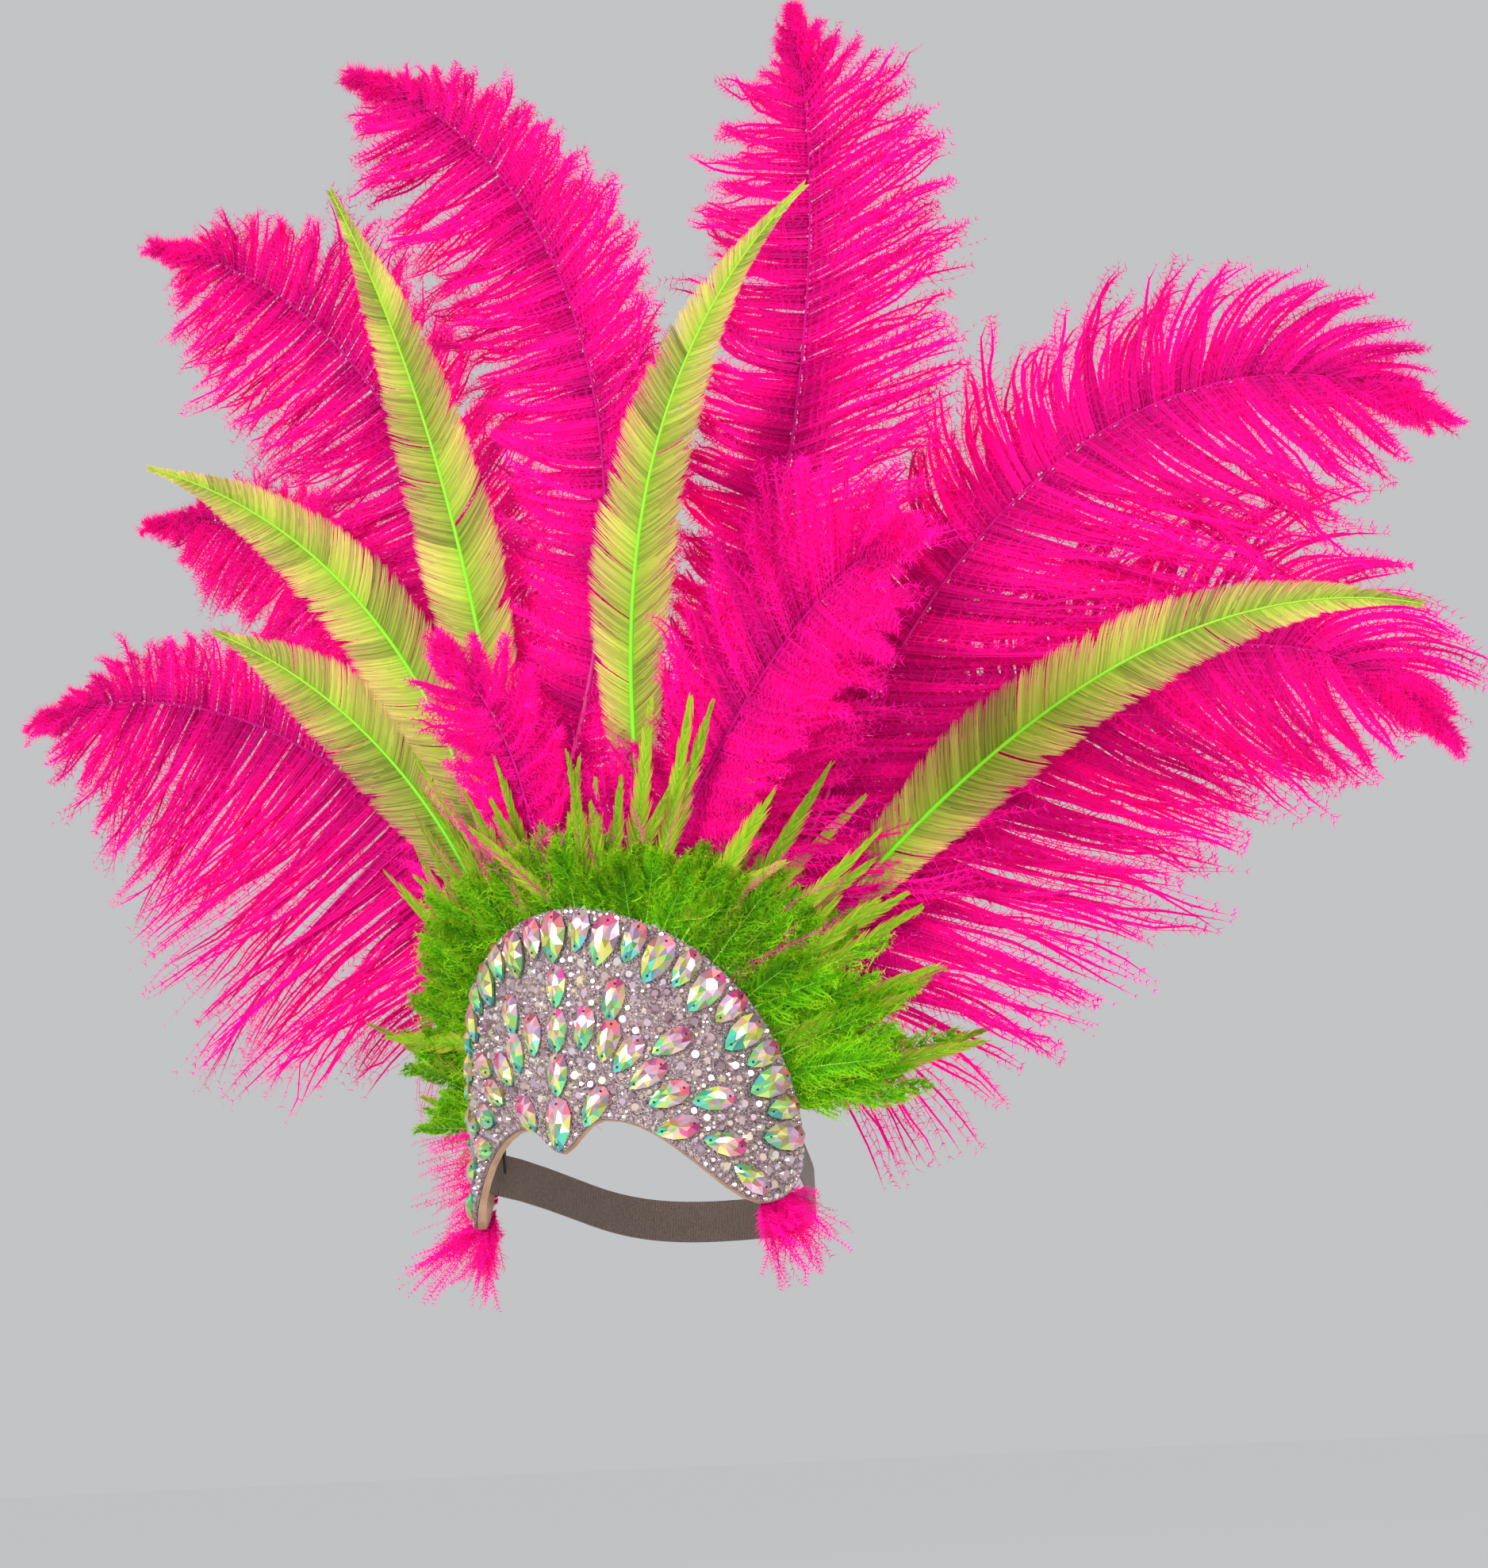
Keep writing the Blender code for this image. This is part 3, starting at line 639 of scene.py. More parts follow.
class Shaft:
    """A feather's shaft, held behind the plate at its root and then free."""

    def __init__(self, row: FeatherRow, named_length: float) -> None:
        """Trace the shaft.

        Args:
            row: The feather's row.
            named_length: Length that the row's length is a share of.
        """
        self.row = row
        self.length = row.length * named_length
        arc = math.radians(row.seat) * CROWN_RADIUS
        point = wrap(arc, top_edge(arc) - QUILL_SINK, QUILL_RADIUS)
        points = [point]
        step = self.length / PATH_STEPS
        lean = math.radians(row.root)
        for number in range(PATH_STEPS):
            run = (number + 0.5) * step
            bend = (run / self.length) ** row.curl
            out = math.radians(row.out_base + (row.out_tip - row.out_base) * bend)
            back = math.radians(row.back_base + (row.back_tip - row.back_base) * bend)
            free = np.array([math.sin(out) * math.cos(back), math.sin(back),
                             math.cos(out) * math.cos(back)])
            angle = math.atan2(point[0], -point[1])
            held = np.array([math.cos(angle) * math.sin(lean), math.sin(angle) * math.sin(lean),
                             math.cos(lean)])
            share = float(smooth_step(np.array((run - QUILL_ROOT) / QUILL_BLEND)))
            point = point + unit(held * (1 - share) + free * share) * step
            if share == 0:
                spread = math.hypot(point[0], point[1])
                point = point * np.array([QUILL_RADIUS / spread, QUILL_RADIUS / spread, 1.0])
            points.append(point)
        self.points = np.array(points)
        self.tangents = unit(np.gradient(self.points, axis=0))

    def at(self, share: np.ndarray) -> tuple[np.ndarray, ...]:
        """Read the shaft.

        Args:
            share: Shares of its length.

        Returns:
            Centre, direction, sideways direction and facing direction at each share.
        """
        grid = np.linspace(0, 1, PATH_STEPS + 1)
        centre = np.stack([np.interp(share, grid, self.points[:, k]) for k in range(3)], axis=-1)
        along = unit(np.stack([np.interp(share, grid, self.tangents[:, k]) for k in range(3)],
                              axis=-1))
        angle = np.arctan2(centre[:, 0], -centre[:, 1])
        radial = np.stack([np.sin(angle), -np.cos(angle), 0 * angle], axis=-1)
        freed = smooth_step((share * self.length - QUILL_ROOT) / QUILL_BLEND)[:, None]
        face = radial * (1 - freed) + np.array([0.0, -1.0, 0.0]) * freed
        beside = unit(np.cross(along, face))
        face = np.cross(beside, along)
        return centre, along, beside, face


def clump_numbers(count: int, sizes: tuple[int, int], rng: np.random.Generator) -> np.ndarray:
    """Share out neighbouring barbs to clumps.

    Args:
        count: Number of barbs.
        sizes: Least and greatest number in a clump.
        rng: Random source.

    Returns:
        The clump number of each barb.
    """
    lengths = rng.integers(sizes[0], sizes[1] + 1, count)
    ends = np.cumsum(lengths)
    return np.searchsorted(ends, np.arange(count), side="right")


class Vane:
    """Grows barbs beside a shaft."""

    def __init__(self, style: VaneStyle, rng: np.random.Generator) -> None:
        """Keep the style and the random source."""
        self.style = style
        self.rng = rng

    def curves(self, base: np.ndarray, frames: tuple[np.ndarray, np.ndarray, np.ndarray],
               length: np.ndarray, angles: tuple[np.ndarray, np.ndarray], side: float,
               bow: float, slack: float | np.ndarray = 1.0) -> tuple[np.ndarray, np.ndarray]:
        """Trace barbs.

        Args:
            base: Foot of each barb.
            frames: Direction, outward direction and facing direction at each foot.
            length: Length of each barb.
            angles: Angle from the shaft in degrees at the foot and at the tip.
            side: 1 or -1.
            bow: How far the tips bow back, as a share of the length.
            slack: How much more than usual they hang.

        Returns:
            Points of each barb, and the clump number of each.
        """
        style, rng = self.style, self.rng
        along, beside, face = frames
        count = len(base)
        clump = clump_numbers(count, style.clump, rng)
        clumps = clump.max() + 1
        turn = rng.normal(0, style.stray, clumps)[clump] + rng.normal(0, style.stray / 2, count)
        lift = rng.normal(0, style.lift, clumps)[clump] + rng.normal(0, style.lift / 2, count)
        length = length * (1 + rng.normal(0, style.trim, clumps)[clump])
        length = length * (1 + rng.normal(0, style.trim / 2, count))
        run = np.linspace(0, 1, style.steps + 1)
        middle = (run[:-1] + run[1:]) / 2
        start, end = angles
        angle = np.radians(start[:, None] + (end - start)[:, None] * middle
                           + turn[:, None] * 1.7 * middle)
        rise = np.radians(lift[:, None] * middle)
        outward = beside * side
        flow = (along[:, None] * np.cos(angle)[..., None]
                + outward[:, None] * np.sin(angle)[..., None])
        flow = flow * np.cos(rise)[..., None] + face[:, None] * np.sin(rise)[..., None]
        flow = flow * (length / style.steps)[:, None, None]
        path = np.concatenate([base[:, None], base[:, None] + np.cumsum(flow, axis=1)], axis=1)
        curve = (run ** 2)[None, :, None]
        path = path - face[:, None] * bow * curve * length[:, None, None]
        path[..., 2] -= style.droop * (slack * length)[:, None] * run ** 2.2
        total = np.zeros((clumps, style.steps + 1, 3))
        np.add.at(total, clump, path)
        members = np.bincount(clump, minlength=clumps)[:, None, None]
        pull = (style.pull * run ** 2.4)[None, :, None]
        pull = pull * rng.uniform(0.4, 1.3, clumps)[clump][:, None, None]
        pull = np.minimum(pull, 0.9)
        path = path + ((total / members)[clump] - path) * pull
        phase = rng.uniform(0, 2 * math.pi, count)[:, None]
        waves = rng.uniform(1.0, 2.6, count)[:, None]
        sway = style.wave * np.sin(phase + waves * 2 * math.pi * run) * run
        path = path + along[:, None] * sway[..., None]
        path = path + face[:, None] * (sway * rng.normal(0, 1, count)[:, None])[..., None]
        return path, clump

    def dress(self, strands: Strands, path: np.ndarray, face: np.ndarray, clump: np.ndarray,
              shade: np.ndarray | None = None) -> None:
        """Turn traced barbs into ribbons with their barbules.

        Args:
            strands: Where they are gathered.
            path: Points of each barb.
            face: Facing direction of each barb.
            clump: Clump number of each barb.
            shade: Tone of each barb's clump, where its feather sets it.
        """
        style, rng = self.style, self.rng
        count = len(path)
        heading = unit(path[:, -1] - path[:, 0])
        roll = np.radians(rng.normal(0, style.roll, count))[:, None]
        facing = unit(face * np.cos(roll) + np.cross(heading, face) * np.sin(roll))
        own = rng.uniform(0, 1, count)
        shared = rng.uniform(0, 1, clump.max() + 1)[clump] if shade is None else shade
        tone = np.stack([own, shared], axis=-1)
        run = np.linspace(0, 1, path.shape[1])
        strands.ribbons(path, facing, style.core * (1 - 0.55 * run), tone)
        if style.lock:
            # Behind every third barb lies a wider ribbon that fills out the lock; its tone is
            # darkened as painted shade among the dense barbs.
            some = slice(None, None, 3)
            deep = path[some] - face[some][:, None] * 0.0006
            dark = tone[some] * np.array([0.5, 0.85])
            wide = style.lock * (1.5 - 0.5 * np.minimum(run * 3, 1)) * (1 - 0.85 * run ** 2.5)
            strands.ribbons(deep, face[some], wide, dark)
        if not style.barbules:
            return
        number = style.barbules
        share = np.linspace(0.03, 0.99, number)
        place = share * (path.shape[1] - 1)
        index = np.minimum(place.astype(int), path.shape[1] - 2)
        part = (place - index)[None, :, None]
        here = path[:, index] * (1 - part) + path[:, index + 1] * part
        along = unit(path[:, index + 1] - path[:, index])
        across = unit(np.cross(along, facing[:, None]))
        size = style.barbule_length * (0.55 + 0.75 * np.sin(math.pi * share ** 0.8))
        for side in (-1, 1):
            open_angle = np.radians(rng.uniform(30, 62, (count, number)))[..., None]
            reach = (size * rng.uniform(0.6, 1.25, (count, number)))[..., None]
            out = facing[:, None] * rng.normal(0, 0.35, (count, number))[..., None]
            tip = here + (along * np.cos(open_angle) + across * side * np.sin(open_angle)
                          + out) * reach
            tones = np.empty((count, number, 3))
            tones[..., 0] = np.clip(share * 0.75 + 0.3, 0, 1)
            tones[..., 1] = np.clip(own[:, None] + rng.normal(0, 0.15, (count, number)), 0, 1)
            tones[..., 2] = shared[:, None]
            strands.spikes(here, along, tip, style.foot, tones)


def settle(path: np.ndarray) -> np.ndarray:
    """Draw the outermost barbs in towards the rest."""
    inner = np.clip(path, LOOSE_LOW, LOOSE_HIGH)
    return inner + (path - inner) * LOOSE_SHARE


class Feather:
    """One feather: a quill and a vane of barbs on both sides."""

    def __init__(self, row: FeatherRow, hue: Hue, seed: int) -> None:
        """Trace the shaft.

        Args:
            row: The feather's row.
            hue: Its dye, which also says its kind.
            seed: Seed of its random draws.
        """
        plume = hue is Hue.MAGENTA
        self.row = row
        self.named_half = PLUME_HALF_WIDTH if plume else LIME_HALF_WIDTH
        self.outline = PLUME_OUTLINE if plume else LIME_OUTLINE
        self.style = PLUME_STYLE if plume else LIME_STYLE
        self.shaft = Shaft(row, PLUME_LENGTH if plume else LIME_LENGTH)
        self.rng = np.random.default_rng(seed)
        self.strands = Strands()
        self.quill = Strands()

    def width(self, share: np.ndarray) -> np.ndarray:
        """Half width of the vane at shares of the shaft, before its side's own share."""
        first = self.outline[0][0]
        start = max(first, (QUILL_ROOT + QUILL_BLEND / 2) / self.shaft.length)
        station = first + (1 - first) * (share - start) / (1 - start)
        table = np.array(self.outline)
        width = np.interp(station, table[:, 0], table[:, 1])
        return width * self.named_half * (1 + self.row.full * (0.5 - station))

    def split(self, share: np.ndarray) -> np.ndarray:
        """Leave out a few barbs, where a trimmed vane has split."""
        gaps = self.rng.uniform(0.2, 0.95, 7)
        wide = self.rng.uniform(0.0006, 0.0018, 7)
        kept = np.all(np.abs(share[:, None] - gaps) > wide, axis=1)
        return share[kept]

    def notch(self, share: np.ndarray) -> np.ndarray:
        """Shorten short runs of barbs, where a trimmed edge is ragged."""
        rng = self.rng
        length = 1 + 0.035 * np.sin(share * 330 + rng.uniform(0, 6))
        for place, wide in zip(rng.uniform(0.25, 0.95, 9), rng.uniform(0.002, 0.007, 9)):
            near = np.clip(1 - np.abs(share - place) / wide, 0, 1)
            length = length - near * rng.uniform(0.1, 0.35)
        return length

    def grow(self) -> None:
        """Grow the quill and both sides of the vane."""
        row, style, shaft, rng = self.row, self.style, self.shaft, self.rng
        vane = Vane(style, rng)
        first = max(self.outline[0][0], (QUILL_ROOT + QUILL_BLEND / 2) / shaft.length)
        first = first - (0.055 if style.barbules else 0.02)
        count = int(shaft.length * (1 - first) / style.pitch)
        plume = bool(style.barbules)
        for side, part in ((1, row.left), (-1, row.right)):
            share = first + (1 - first) * (np.arange(count) + 0.5) / count
            share = np.clip(share + rng.normal(0, 0.3, count) * (1 - first) / count, 0, 1)
            if not plume:
                share = self.split(share)
            centre, along, beside, face = shaft.at(share)
            half = self.width(share) * part
            if plume:
                fluff = np.interp(share, (0.06, 0.12, 0.24, 0.40), (0.45, 0.75, 0.85, 0.3))
                half = np.maximum(half, fluff * self.named_half * part)
                half = np.maximum(half, 0.45 * self.named_half * (share > 0.4))
                longer = rng.uniform(1.1, 1.3, len(share))
                half = np.where(rng.uniform(0, 1, len(share)) < 0.06, half * longer, half)
                half = half * (1.0 if row.back_tip < 0 else 1.04)
                gain = LOOSENED.get(row.name, (1.0, 1.0))[0 if side > 0 else 1]
                half = half * (gain + (1 - gain) * smooth_step((share - 0.74) / 0.24))
            else:
                half = half * self.notch(share)
            half = np.maximum(half, 0.12 * self.named_half)
            crowd = smooth_step((share - 0.72) / 0.28)
            start = style.angle_base - (33 if plume else 26) * crowd
            end = style.angle_tip - (9 if plume else 28) * crowd - 26 * max(part - 1.1, 0)
            if plume:
                fan = smooth_step((share - 0.84) / 0.16)
                start = start * (1 - 0.88 * fan)
                end = end * (1 - 0.92 * fan)
                half = half * (1 - 0.30 * fan)
            hanging = np.clip(-beside[:, 2] * side, 0, 1) * (part > 1.1)
            hanging = hanging * (1 - smooth_step((share - 0.10) / 0.40))
            end = end + 46 * hanging
            half = half * (1 + 0.85 * (part - 1) * hanging)
            base = centre + beside * side * QUILL_WIDTH * 0.35 * (1 - 0.7 * share)[:, None]
            if plume:
                base = base + face * rng.normal(0, 0.0012, len(share))[:, None]
            path, clump = vane.curves(base, (along, beside, face), half * 1.02, (start, end),
                                      side, math.copysign(style.bow, row.back_base),
                                       part * (1 + 1.3 * hanging))
            path = settle(path)
            vane.dress(self.strands, path, face, clump)
        radius = QUILL_WIDTH / 2 * (1 - 0.82 * np.linspace(0, 1, PATH_STEPS + 1) ** 0.8)
        self.quill.tubes(shaft.points, radius, (0.5, 0.5), 8)


# Plumes whose barbs have worked loose: length gained on the left side and on the right side
LOOSENED = {
    "plume_left_upper": (1.50, 1.28),
    "plume_left_low": (1.0, 1.22),
    "plume_right_low": (1.55, 1.0),
    "plume_right_upper": (1.15, 1.10),
}

# Loose strands: number, length of the longest, spread in degrees, and fall of the tips
WISPS = {
    "temple_tuft_left": (90, 0.042, 22, 0.10),
    "temple_tuft_right": (90, 0.044, 24, 0.05),
    "loose_wisps_top": (30, 0.110, 16, 0.0),
    "loose_wisps_left": (16, 0.110, 14, 0.1),
    "loose_wisps_right": (120, 0.064, 16, 0.20),
}


class SmallFeathers:
    """A fan of small feathers along a stretch of the plate's edge."""

    def __init__(self, row: FanRow, seed: int) -> None:
        """Keep the row and start the random source."""
        self.row = row
        self.rng = np.random.default_rng(seed)
        self.strands = Strands()
        self.quills = Strands()
        self.spears = Strands()

    def grow(self, layers: int, pitch: float, barb: float) -> None:
        """Grow layers of small feathers.

        Args:
            layers: Number of layers, one behind the other.
            pitch: Distance between neighbours along the edge.
            barb: Length of the longest barbs.
        """
        row, rng = self.row, self.rng
        stretch = abs(row.end - row.start) * EDGE.run[-1]
        number = max(3, round(stretch / pitch))
        for layer in range(layers):
            part = (np.arange(number) + rng.uniform(0.2, 0.8, number)) / number
            share = row.start + (row.end - row.start) * part
            reach = COLLAR_REACH * (row.reach_start + (row.reach_end - row.reach_start) * part)
            reach = reach * rng.uniform(0.72, 1.06, number) * (1 - 0.10 * layer)
            flare = row.flare_start + (row.flare_end - row.flare_start) * part
            flare = np.radians(flare + rng.normal(0, 6, number) - 4 + 8 * layer)
            depth = COLLAR_RADIUS + (layer - (layers - 1) / 2) * COLLAR_WALL / (layers + 1)
            sway = np.radians(rng.normal(0, 11, number))
            curl = np.radians(rng.normal(12, 14, number))
            path, radial = self.quills_at(share, reach, flare, sway, curl, depth)
            self._dress(path, radial, barb)

    def _dress(self, path: np.ndarray, radial: np.ndarray, barb: float) -> None:
        """Give each small feather a quill and soft barbs.

        Args:
            path: Points of each quill.
            radial: Outward direction at each root.
            barb: Length of the longest barbs.
        """
        shape = np.interp(np.linspace(0, 1, 38), (0.0, 0.25, 0.6, 0.85, 1.0),
                          (0.8, 1.0, 0.85, 0.6, 0.3))
        self._barbs(self.strands, path, radial, DOWN_STYLE, barb * shape, (66, 30), 0.14)
        run = np.linspace(0, 1, path.shape[1])
        tone = self.rng.uniform(0, 1, (len(path), 2))
        self.quills.ribbons(path, radial, 0.00040 * (1 - 0.8 * run), tone)

    def _barbs(self, strands: Strands, path: np.ndarray, radial: np.ndarray, style: VaneStyle,
               lengths: np.ndarray, turns: tuple[float, float], first: float) -> None:
        """Grow barbs on both sides of each quill.

        Args:
            strands: Where they are gathered.
            path: Points of each quill.
            radial: Outward direction at each root.
            style: How the barbs grow.
            lengths: Length of each barb, from the quill's root to its tip.
            turns: Angle from the quill at its root and at its tip.
            first: Share of the quill where the barbs start.
        """
        rng = self.rng
        count, steps, _ = path.shape
        barbs = len(lengths)
        share = np.linspace(first, 0.99, barbs)
        station = share * (steps - 1)
        index = np.minimum(station.astype(int), steps - 2)
        part = (station - index)[None, :, None]
        here = path[:, index] * (1 - part) + path[:, index + 1] * part
        along = unit(path[:, index + 1] - path[:, index])
        face = unit(radial[:, None] - along * np.sum(radial[:, None] * along, -1, keepdims=True))
        beside = np.cross(along, face)
        vane = Vane(style, rng)
        frames = tuple(vectors.reshape(-1, 3) for vectors in (along, beside, face))
        turn = np.tile(np.linspace(turns[0], turns[1], barbs), count)
        shade = np.repeat(rng.uniform(0, 1, count), barbs)
        for side in (-1, 1):
            length = np.tile(lengths, count) * rng.uniform(0.8, 1.15, count * barbs)
            curves, clump = vane.curves(here.reshape(-1, 3), frames, length,
                                        (turn, turn + style.angle_tip - style.angle_base), side,
                                        style.bow)
            vane.dress(strands, curves, frames[2], clump, shade)

    def quills_at(self, share: np.ndarray, reach: np.ndarray, flare: np.ndarray,
                  sway: np.ndarray, curl: np.ndarray,
                  depth: float) -> tuple[np.ndarray, np.ndarray]:
        """Trace quills that leave the plate's edge.

        Args:
            share: Where on the edge each one passes it.
            reach: Length past the edge.
            flare: Lean away from the head, in radians.
            sway: Turn in the plane of the plate, in radians.
            curl: Further lean that the tip takes, in radians.
            depth: Radius of the roots' layer.

        Returns:
            Points of each quill, and the outward direction at each root.
        """
        flat, outward = EDGE.at(share)
        root = wrap(flat[:, 0] - outward[:, 0] * COLLAR_INSET,
                    flat[:, 1] - outward[:, 1] * COLLAR_INSET, depth)
        passing = wrap(flat[:, 0], flat[:, 1], depth)
        angle = flat[:, 0] / CROWN_RADIUS
        radial = np.stack([np.sin(angle), -np.cos(angle), 0 * angle], axis=-1)
        across = np.stack([np.cos(angle), np.sin(angle), 0 * angle], axis=-1)
        upward = np.array([0.0, 0.0, 1.0])
        plain = across * outward[:, :1] + upward * outward[:, 1:]
        cross = across * outward[:, 1:] - upward * outward[:, :1]
        plain = plain * np.cos(sway)[:, None] + cross * np.sin(sway)[:, None]
        flown = plain * np.cos(flare)[:, None] + radial * np.sin(flare)[:, None]
        later = plain * np.cos(flare + curl)[:, None] + radial * np.sin(flare + curl)[:, None]
        run = np.linspace(0, 1, 9)[None, :, None]
        path = (passing[:, None] + flown[:, None] * run * reach[:, None, None]
                + (later - flown)[:, None] * run ** 2 * reach[:, None, None] / 2)
        return np.concatenate([root[:, None], path], axis=1), radial

    def hackles(self, number: int, longest: float) -> None:
        """Add narrow pointed feathers that stand out of the fluff.

        Args:
            number: How many.
            longest: Length of the longest one past the edge.
        """
        row, rng = self.row, self.rng
        part = (np.arange(number) + rng.uniform(0.1, 0.9, number)) / number
        share = row.start + (row.end - row.start) * part
        reach = longest * rng.uniform(0.55, 1.0, number)
        flare = np.radians(row.flare_start + (row.flare_end - row.flare_start) * part
                           + rng.normal(2, 8, number))
        sway = np.radians(rng.normal(0, 13, number))
        curl = np.radians(rng.normal(4, 12, number))
        path, radial = self.quills_at(share, reach, flare, sway, curl, COLLAR_RADIUS)
        count = 70
        station = np.linspace(0, 1, count)
        lengths = longest * np.interp(station, (0.0, 0.3, 0.7, 1.0), (0.09, 0.14, 0.11, 0.05))
        self._barbs(self.spears, path, radial, HACKLE_STYLE, lengths, (34, 12), 0.2)
        run = np.linspace(0, 1, path.shape[1])
        tone = rng.uniform(0, 1, (number, 2))
        self.quills.ribbons(path, radial, 0.00055 * (1 - 0.8 * run), tone)

    def wisps(self, number: int, longest: float, spread: float, hang: float) -> None:
        """Add long loose strands, as at the temples.

        Args:
            number: How many.
            longest: Length of the longest one.
            spread: How far they stray from one another, in degrees.
            hang: How far the tips fall, as a share of the length.
        """
        row, rng = self.row, self.rng
        part = rng.uniform(0, 1, number)
        share = row.start + (row.end - row.start) * part
        reach = longest * rng.uniform(0.35, 1.0, number)
        flare = np.radians(row.flare_start + (row.flare_end - row.flare_start) * part
                           + np.abs(rng.normal(0, spread * 0.6, number)))
        sway = np.radians(rng.normal(0, spread, number))
        curl = np.radians(rng.normal(4, spread * 0.8, number))
        path, radial = self.quills_at(share, reach, flare, sway, curl, COLLAR_RADIUS)
        path = path[:, 1:]
        run = np.linspace(0, 1, path.shape[1])
        phase = rng.uniform(0, 6, number)[:, None]
        waves = rng.uniform(5, 9, number)[:, None]
        swing = np.sin(phase + waves * run) * run * 0.09 * reach[:, None]
        across = np.cross(radial, np.array([0.0, 0.0, 1.0]))
        path = path + across[:, None] * swing[..., None]
        path = path - across[:, None] * (0.3 * hang * sway * reach)[:, None, None] * (
            run ** 2)[None, :, None]
        path[..., 2] -= hang * reach[:, None] * run ** 1.6
        Vane(WISP_STYLE, rng).dress(self.strands, path, radial, np.arange(number))


# Crown

class StoneCut:
    """A cut teardrop modelled once, its points and faces kept."""

    SIDES = 10

    def __init__(self) -> None:
        """Model the stone and read its points and faces."""
        bpy.ops.mesh.primitive_circle_add(vertices=self.SIDES, radius=0.5, fill_type="NGON")
        item = bpy.context.object
        bpy.ops.object.mode_set(mode="EDIT")
        bpy.ops.mesh.select_all(action="SELECT")
        height = STONE_HEIGHT
        for rise, share, turn in ((SHOWN_GIRDLE, 1.10, 0.0),
                                  (0.93 * height - SHOWN_GIRDLE, TABLE_SHARE, 0.5)):
            bpy.ops.mesh.extrude_region_move(TRANSFORM_OT_translate={"value": (0, 0, rise)})
            bpy.ops.transform.resize(value=(share, share, 1))
            bpy.ops.transform.rotate(value=2 * math.pi * turn / self.SIDES, orient_axis="Z",
                                     center_override=(0, 0, 0))
        bpy.ops.mesh.poke(offset=0.0005)
        bpy.ops.mesh.select_all(action="SELECT")
        bpy.ops.mesh.quads_convert_to_tris(quad_method="FIXED", ngon_method="BEAUTY")
        bpy.ops.mesh.normals_make_consistent(inside=False)
        bpy.ops.object.mode_set(mode="OBJECT")
        mesh = item.data
        points = np.array([vertex.co[:] for vertex in mesh.vertices])
        radius = np.hypot(points[:, 0], points[:, 1])
        turn = np.arctan2(points[:, 0], points[:, 1])
        pinch = np.sqrt(np.abs(np.sin(turn / 2)))
        self.points = np.stack([radius * np.sin(turn) * pinch * 1.12 / 1.10,
                                radius * np.cos(turn) / 1.10, points[:, 2]], axis=-1)
        self.faces = [tuple(face.vertices) for face in mesh.polygons]
        bpy.data.objects.remove(item, do_unlink=True)


    @staticmethod
    def hole(end: int, length: float, width: float) -> np.ndarray:
        """Trace a sew hole that lies on the facets at one end of the stone.

        Args:
            end: 1 for the pointed end, -1 for the round one.
            length: Length of the stone.
            width: Width of the stone.

        Returns:
            Points of the hole's dark mouth, in metres.
        """
        turn = np.linspace(0, 2 * math.pi, 8, endpoint=False)
        across = HOLE_RADIUS * np.cos(turn)
        along = end * 0.37 * length + HOLE_RADIUS * np.sin(turn)
        scale = np.hypot(along / length, across / width) * 2
        top = 0.93 * STONE_HEIGHT
        rise = SHOWN_GIRDLE + (top - SHOWN_GIRDLE) * (1 - scale) / (1 - TABLE_SHARE)
        return np.stack([across, along, np.minimum(rise, top) + 0.00022], axis=-1)


@dataclass(frozen=True)
class StoneSeat:
    """Where a teardrop lies on the bed."""

    arc: float
    height: float
    turn: float
    big: bool
    radius: float

    @property
    def size(self) -> tuple[float, float]:
        """Length and width."""
        return BIG_STONE if self.big else SMALL_STONE

    @property
    def shown(self) -> tuple[float, float]:
        """Length and width of the cut stone, whose facets overhang its glued foot."""
        length, width = self.size
        return (length * 1.03, width * 1.03) if self.big else (length * 1.09, width * 1.14)

    def axes(self) -> tuple[np.ndarray, ...]:
        """Centre, sideways, lengthways and outward directions."""
        angle = self.arc / CROWN_RADIUS
        outward = np.array([math.sin(angle), -math.cos(angle), 0.0])
        across = np.array([math.cos(angle), math.sin(angle), 0.0])
        upward = np.array([0.0, 0.0, 1.0])
        turn = math.radians(self.turn)
        along = upward * math.cos(turn) + across * math.sin(turn)
        beside = across * math.cos(turn) - upward * math.sin(turn)
        return wrap(self.arc, self.height, self.radius), beside, along, outward


def fan_seats() -> list[StoneSeat]:
    """Seats of the row of stones along the plate's edge."""
    seats = []
    reach = EDGE.top_run - (BIG_STONE[1] + SMALL_STONE[1]) / 4
    for number in range(FAN_STONES + 1):
        big = number % 2 == 0
        share = reach * number / FAN_STONES / EDGE.run[-1]
        inset = (BIG_STONE if big else SMALL_STONE)[0] / 2 + STONE_EDGE_MARGIN
        for side in ((1, -1) if number else (1,)):
            flat, outward = EDGE.at(np.array(share * side))
            flat = flat - outward * inset
            turn = math.degrees(math.atan2(-outward[0], -outward[1]))
            seats.append(StoneSeat(float(flat[0]), float(flat[1]), turn, big,
                                   BED_RADIUS + CLEARANCE))
    return seats


def inner_seats() -> list[StoneSeat]:
    """Seats of the inner stones, mirrored to both sides."""
    seats = []
    for arc, height, turn, big in INNER_STONES:
        for side in ((1, -1) if arc > 0 else (1,)):
            seats.append(StoneSeat(side * arc * CROWN_HALF_ARC, height * CROWN_HEIGHT,
                                   side * (turn + 180), big, BED_RADIUS - CLEARANCE))
    return seats


